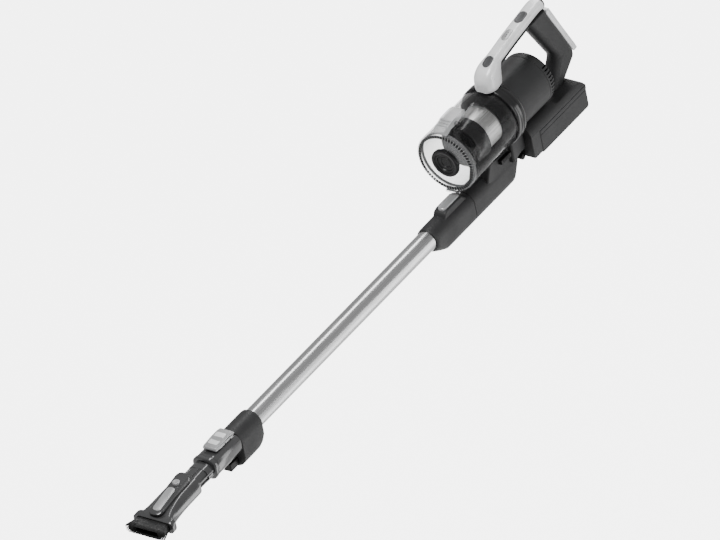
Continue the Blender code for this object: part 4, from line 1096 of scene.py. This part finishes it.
def painted_light_pool(tree, place, reach=2.3, bright=5.0, dim=0.4):
    """A painted pool of light: the floor glows behind the machine, fading out at its rim."""
    coordinates = tree.nodes.new("ShaderNodeTexCoord")
    mapping = tree.nodes.new("ShaderNodeMapping")
    mapping.vector_type = "TEXTURE"
    put(mapping, {"Location": (place.x, place.y, 0.0), "Scale": (reach, reach, reach)})
    tree.links.new(coordinates.outputs["Object"], mapping.inputs["Vector"])
    gradient = tree.nodes.new("ShaderNodeTexGradient")
    gradient.gradient_type = "SPHERICAL"
    tree.links.new(mapping.outputs["Vector"], gradient.inputs["Vector"])
    scale = tree.nodes.new("ShaderNodeMapRange")
    scale.interpolation_type = "SMOOTHSTEP"
    put(scale, {"From Min": 0.1, "From Max": 0.5, "To Min": dim, "To Max": bright})
    tree.links.new(gradient.outputs["Fac"], scale.inputs["Value"])
    return scale.outputs["Result"]


def add_stage(right, up):
    bm = bmesh.new()
    signs = ((-1, -1), (1, -1), (1, 1), (-1, 1))
    corners = [bm.verts.new((x * FLOOR_HALF, y * FLOOR_HALF, 0.0)) for x, y in signs]
    bm.faces.new(corners)
    mesh = bpy.data.meshes.new("floor")
    bm.to_mesh(mesh)
    bm.free()
    material, tree, shader = material_base("floor_paper_painted_glow", (0.93, 0.93, 0.93), 0.9)
    shader.inputs["Emission Color"].default_value = (1.0, 1.0, 1.0, 1.0)
    middle = (FRAME_BOUNDS[0] + FRAME_BOUNDS[1]) / 2
    drop = FLOOR_DROP + middle.z - FRAME_BOUNDS[0].z
    glow_centre = middle - CAMERA_BACK * (drop / CAMERA_BACK.z)
    # painted light: the floor's own glow, strongest in a pool behind the machine, though the floor is no
    # lamp
    tree.links.new(painted_light_pool(tree, glow_centre), shader.inputs["Emission Strength"])
    bump(tree, shader, noise(tree, object_space(tree), 60.0, 2.0), 0.05, 0.0005)
    mesh.materials.append(material)
    floor = bpy.data.objects.new("floor", mesh)
    bpy.context.collection.objects.link(floor)
    floor.location.z = FRAME_BOUNDS[0].z - FLOOR_DROP
    world = bpy.data.worlds.new("studio")
    world.use_nodes = True
    world.node_tree.nodes["Background"].inputs["Color"].default_value = (1.0, 1.0, 1.0, 1.0)
    world.node_tree.nodes["Background"].inputs["Strength"].default_value = 0.45
    bpy.context.scene.world = world
    add_light("key", middle + up * 2.0 - right * 1.2 + CAMERA_BACK * 2.2, middle, 1.4, 95.0)
    add_light("streak", middle + Vector((-0.28, 0.62, 0.733)) * 2.6, middle, 0.42, 34.0, size_y=3.2)
    add_light("edge", middle + Vector((0.69, 0.62, -0.37)) * 2.4, middle, 0.5, 16.0, size_y=3.0)
    add_light("side", middle + right * 2.4 + CAMERA_BACK * 1.6, middle, 1.0, 24.0, size_y=1.6)


make_cup()
make_lid()
make_latch()
make_cyclone()
make_collar()
make_housing()
make_cover()
make_body()
make_release_slider()
make_dock()
make_battery()
HANDLE = make_bar()
make_controls(HANDLE)
make_liner_and_cap()
make_grip()
make_coupling()
make_tube()
make_lower_collar()
make_neck()
make_rocker()
make_nozzle()
make_sleeve()
make_bristles()
finish_kept_nodes()
RIGHT, UP = add_camera()
add_stage(RIGHT, UP)
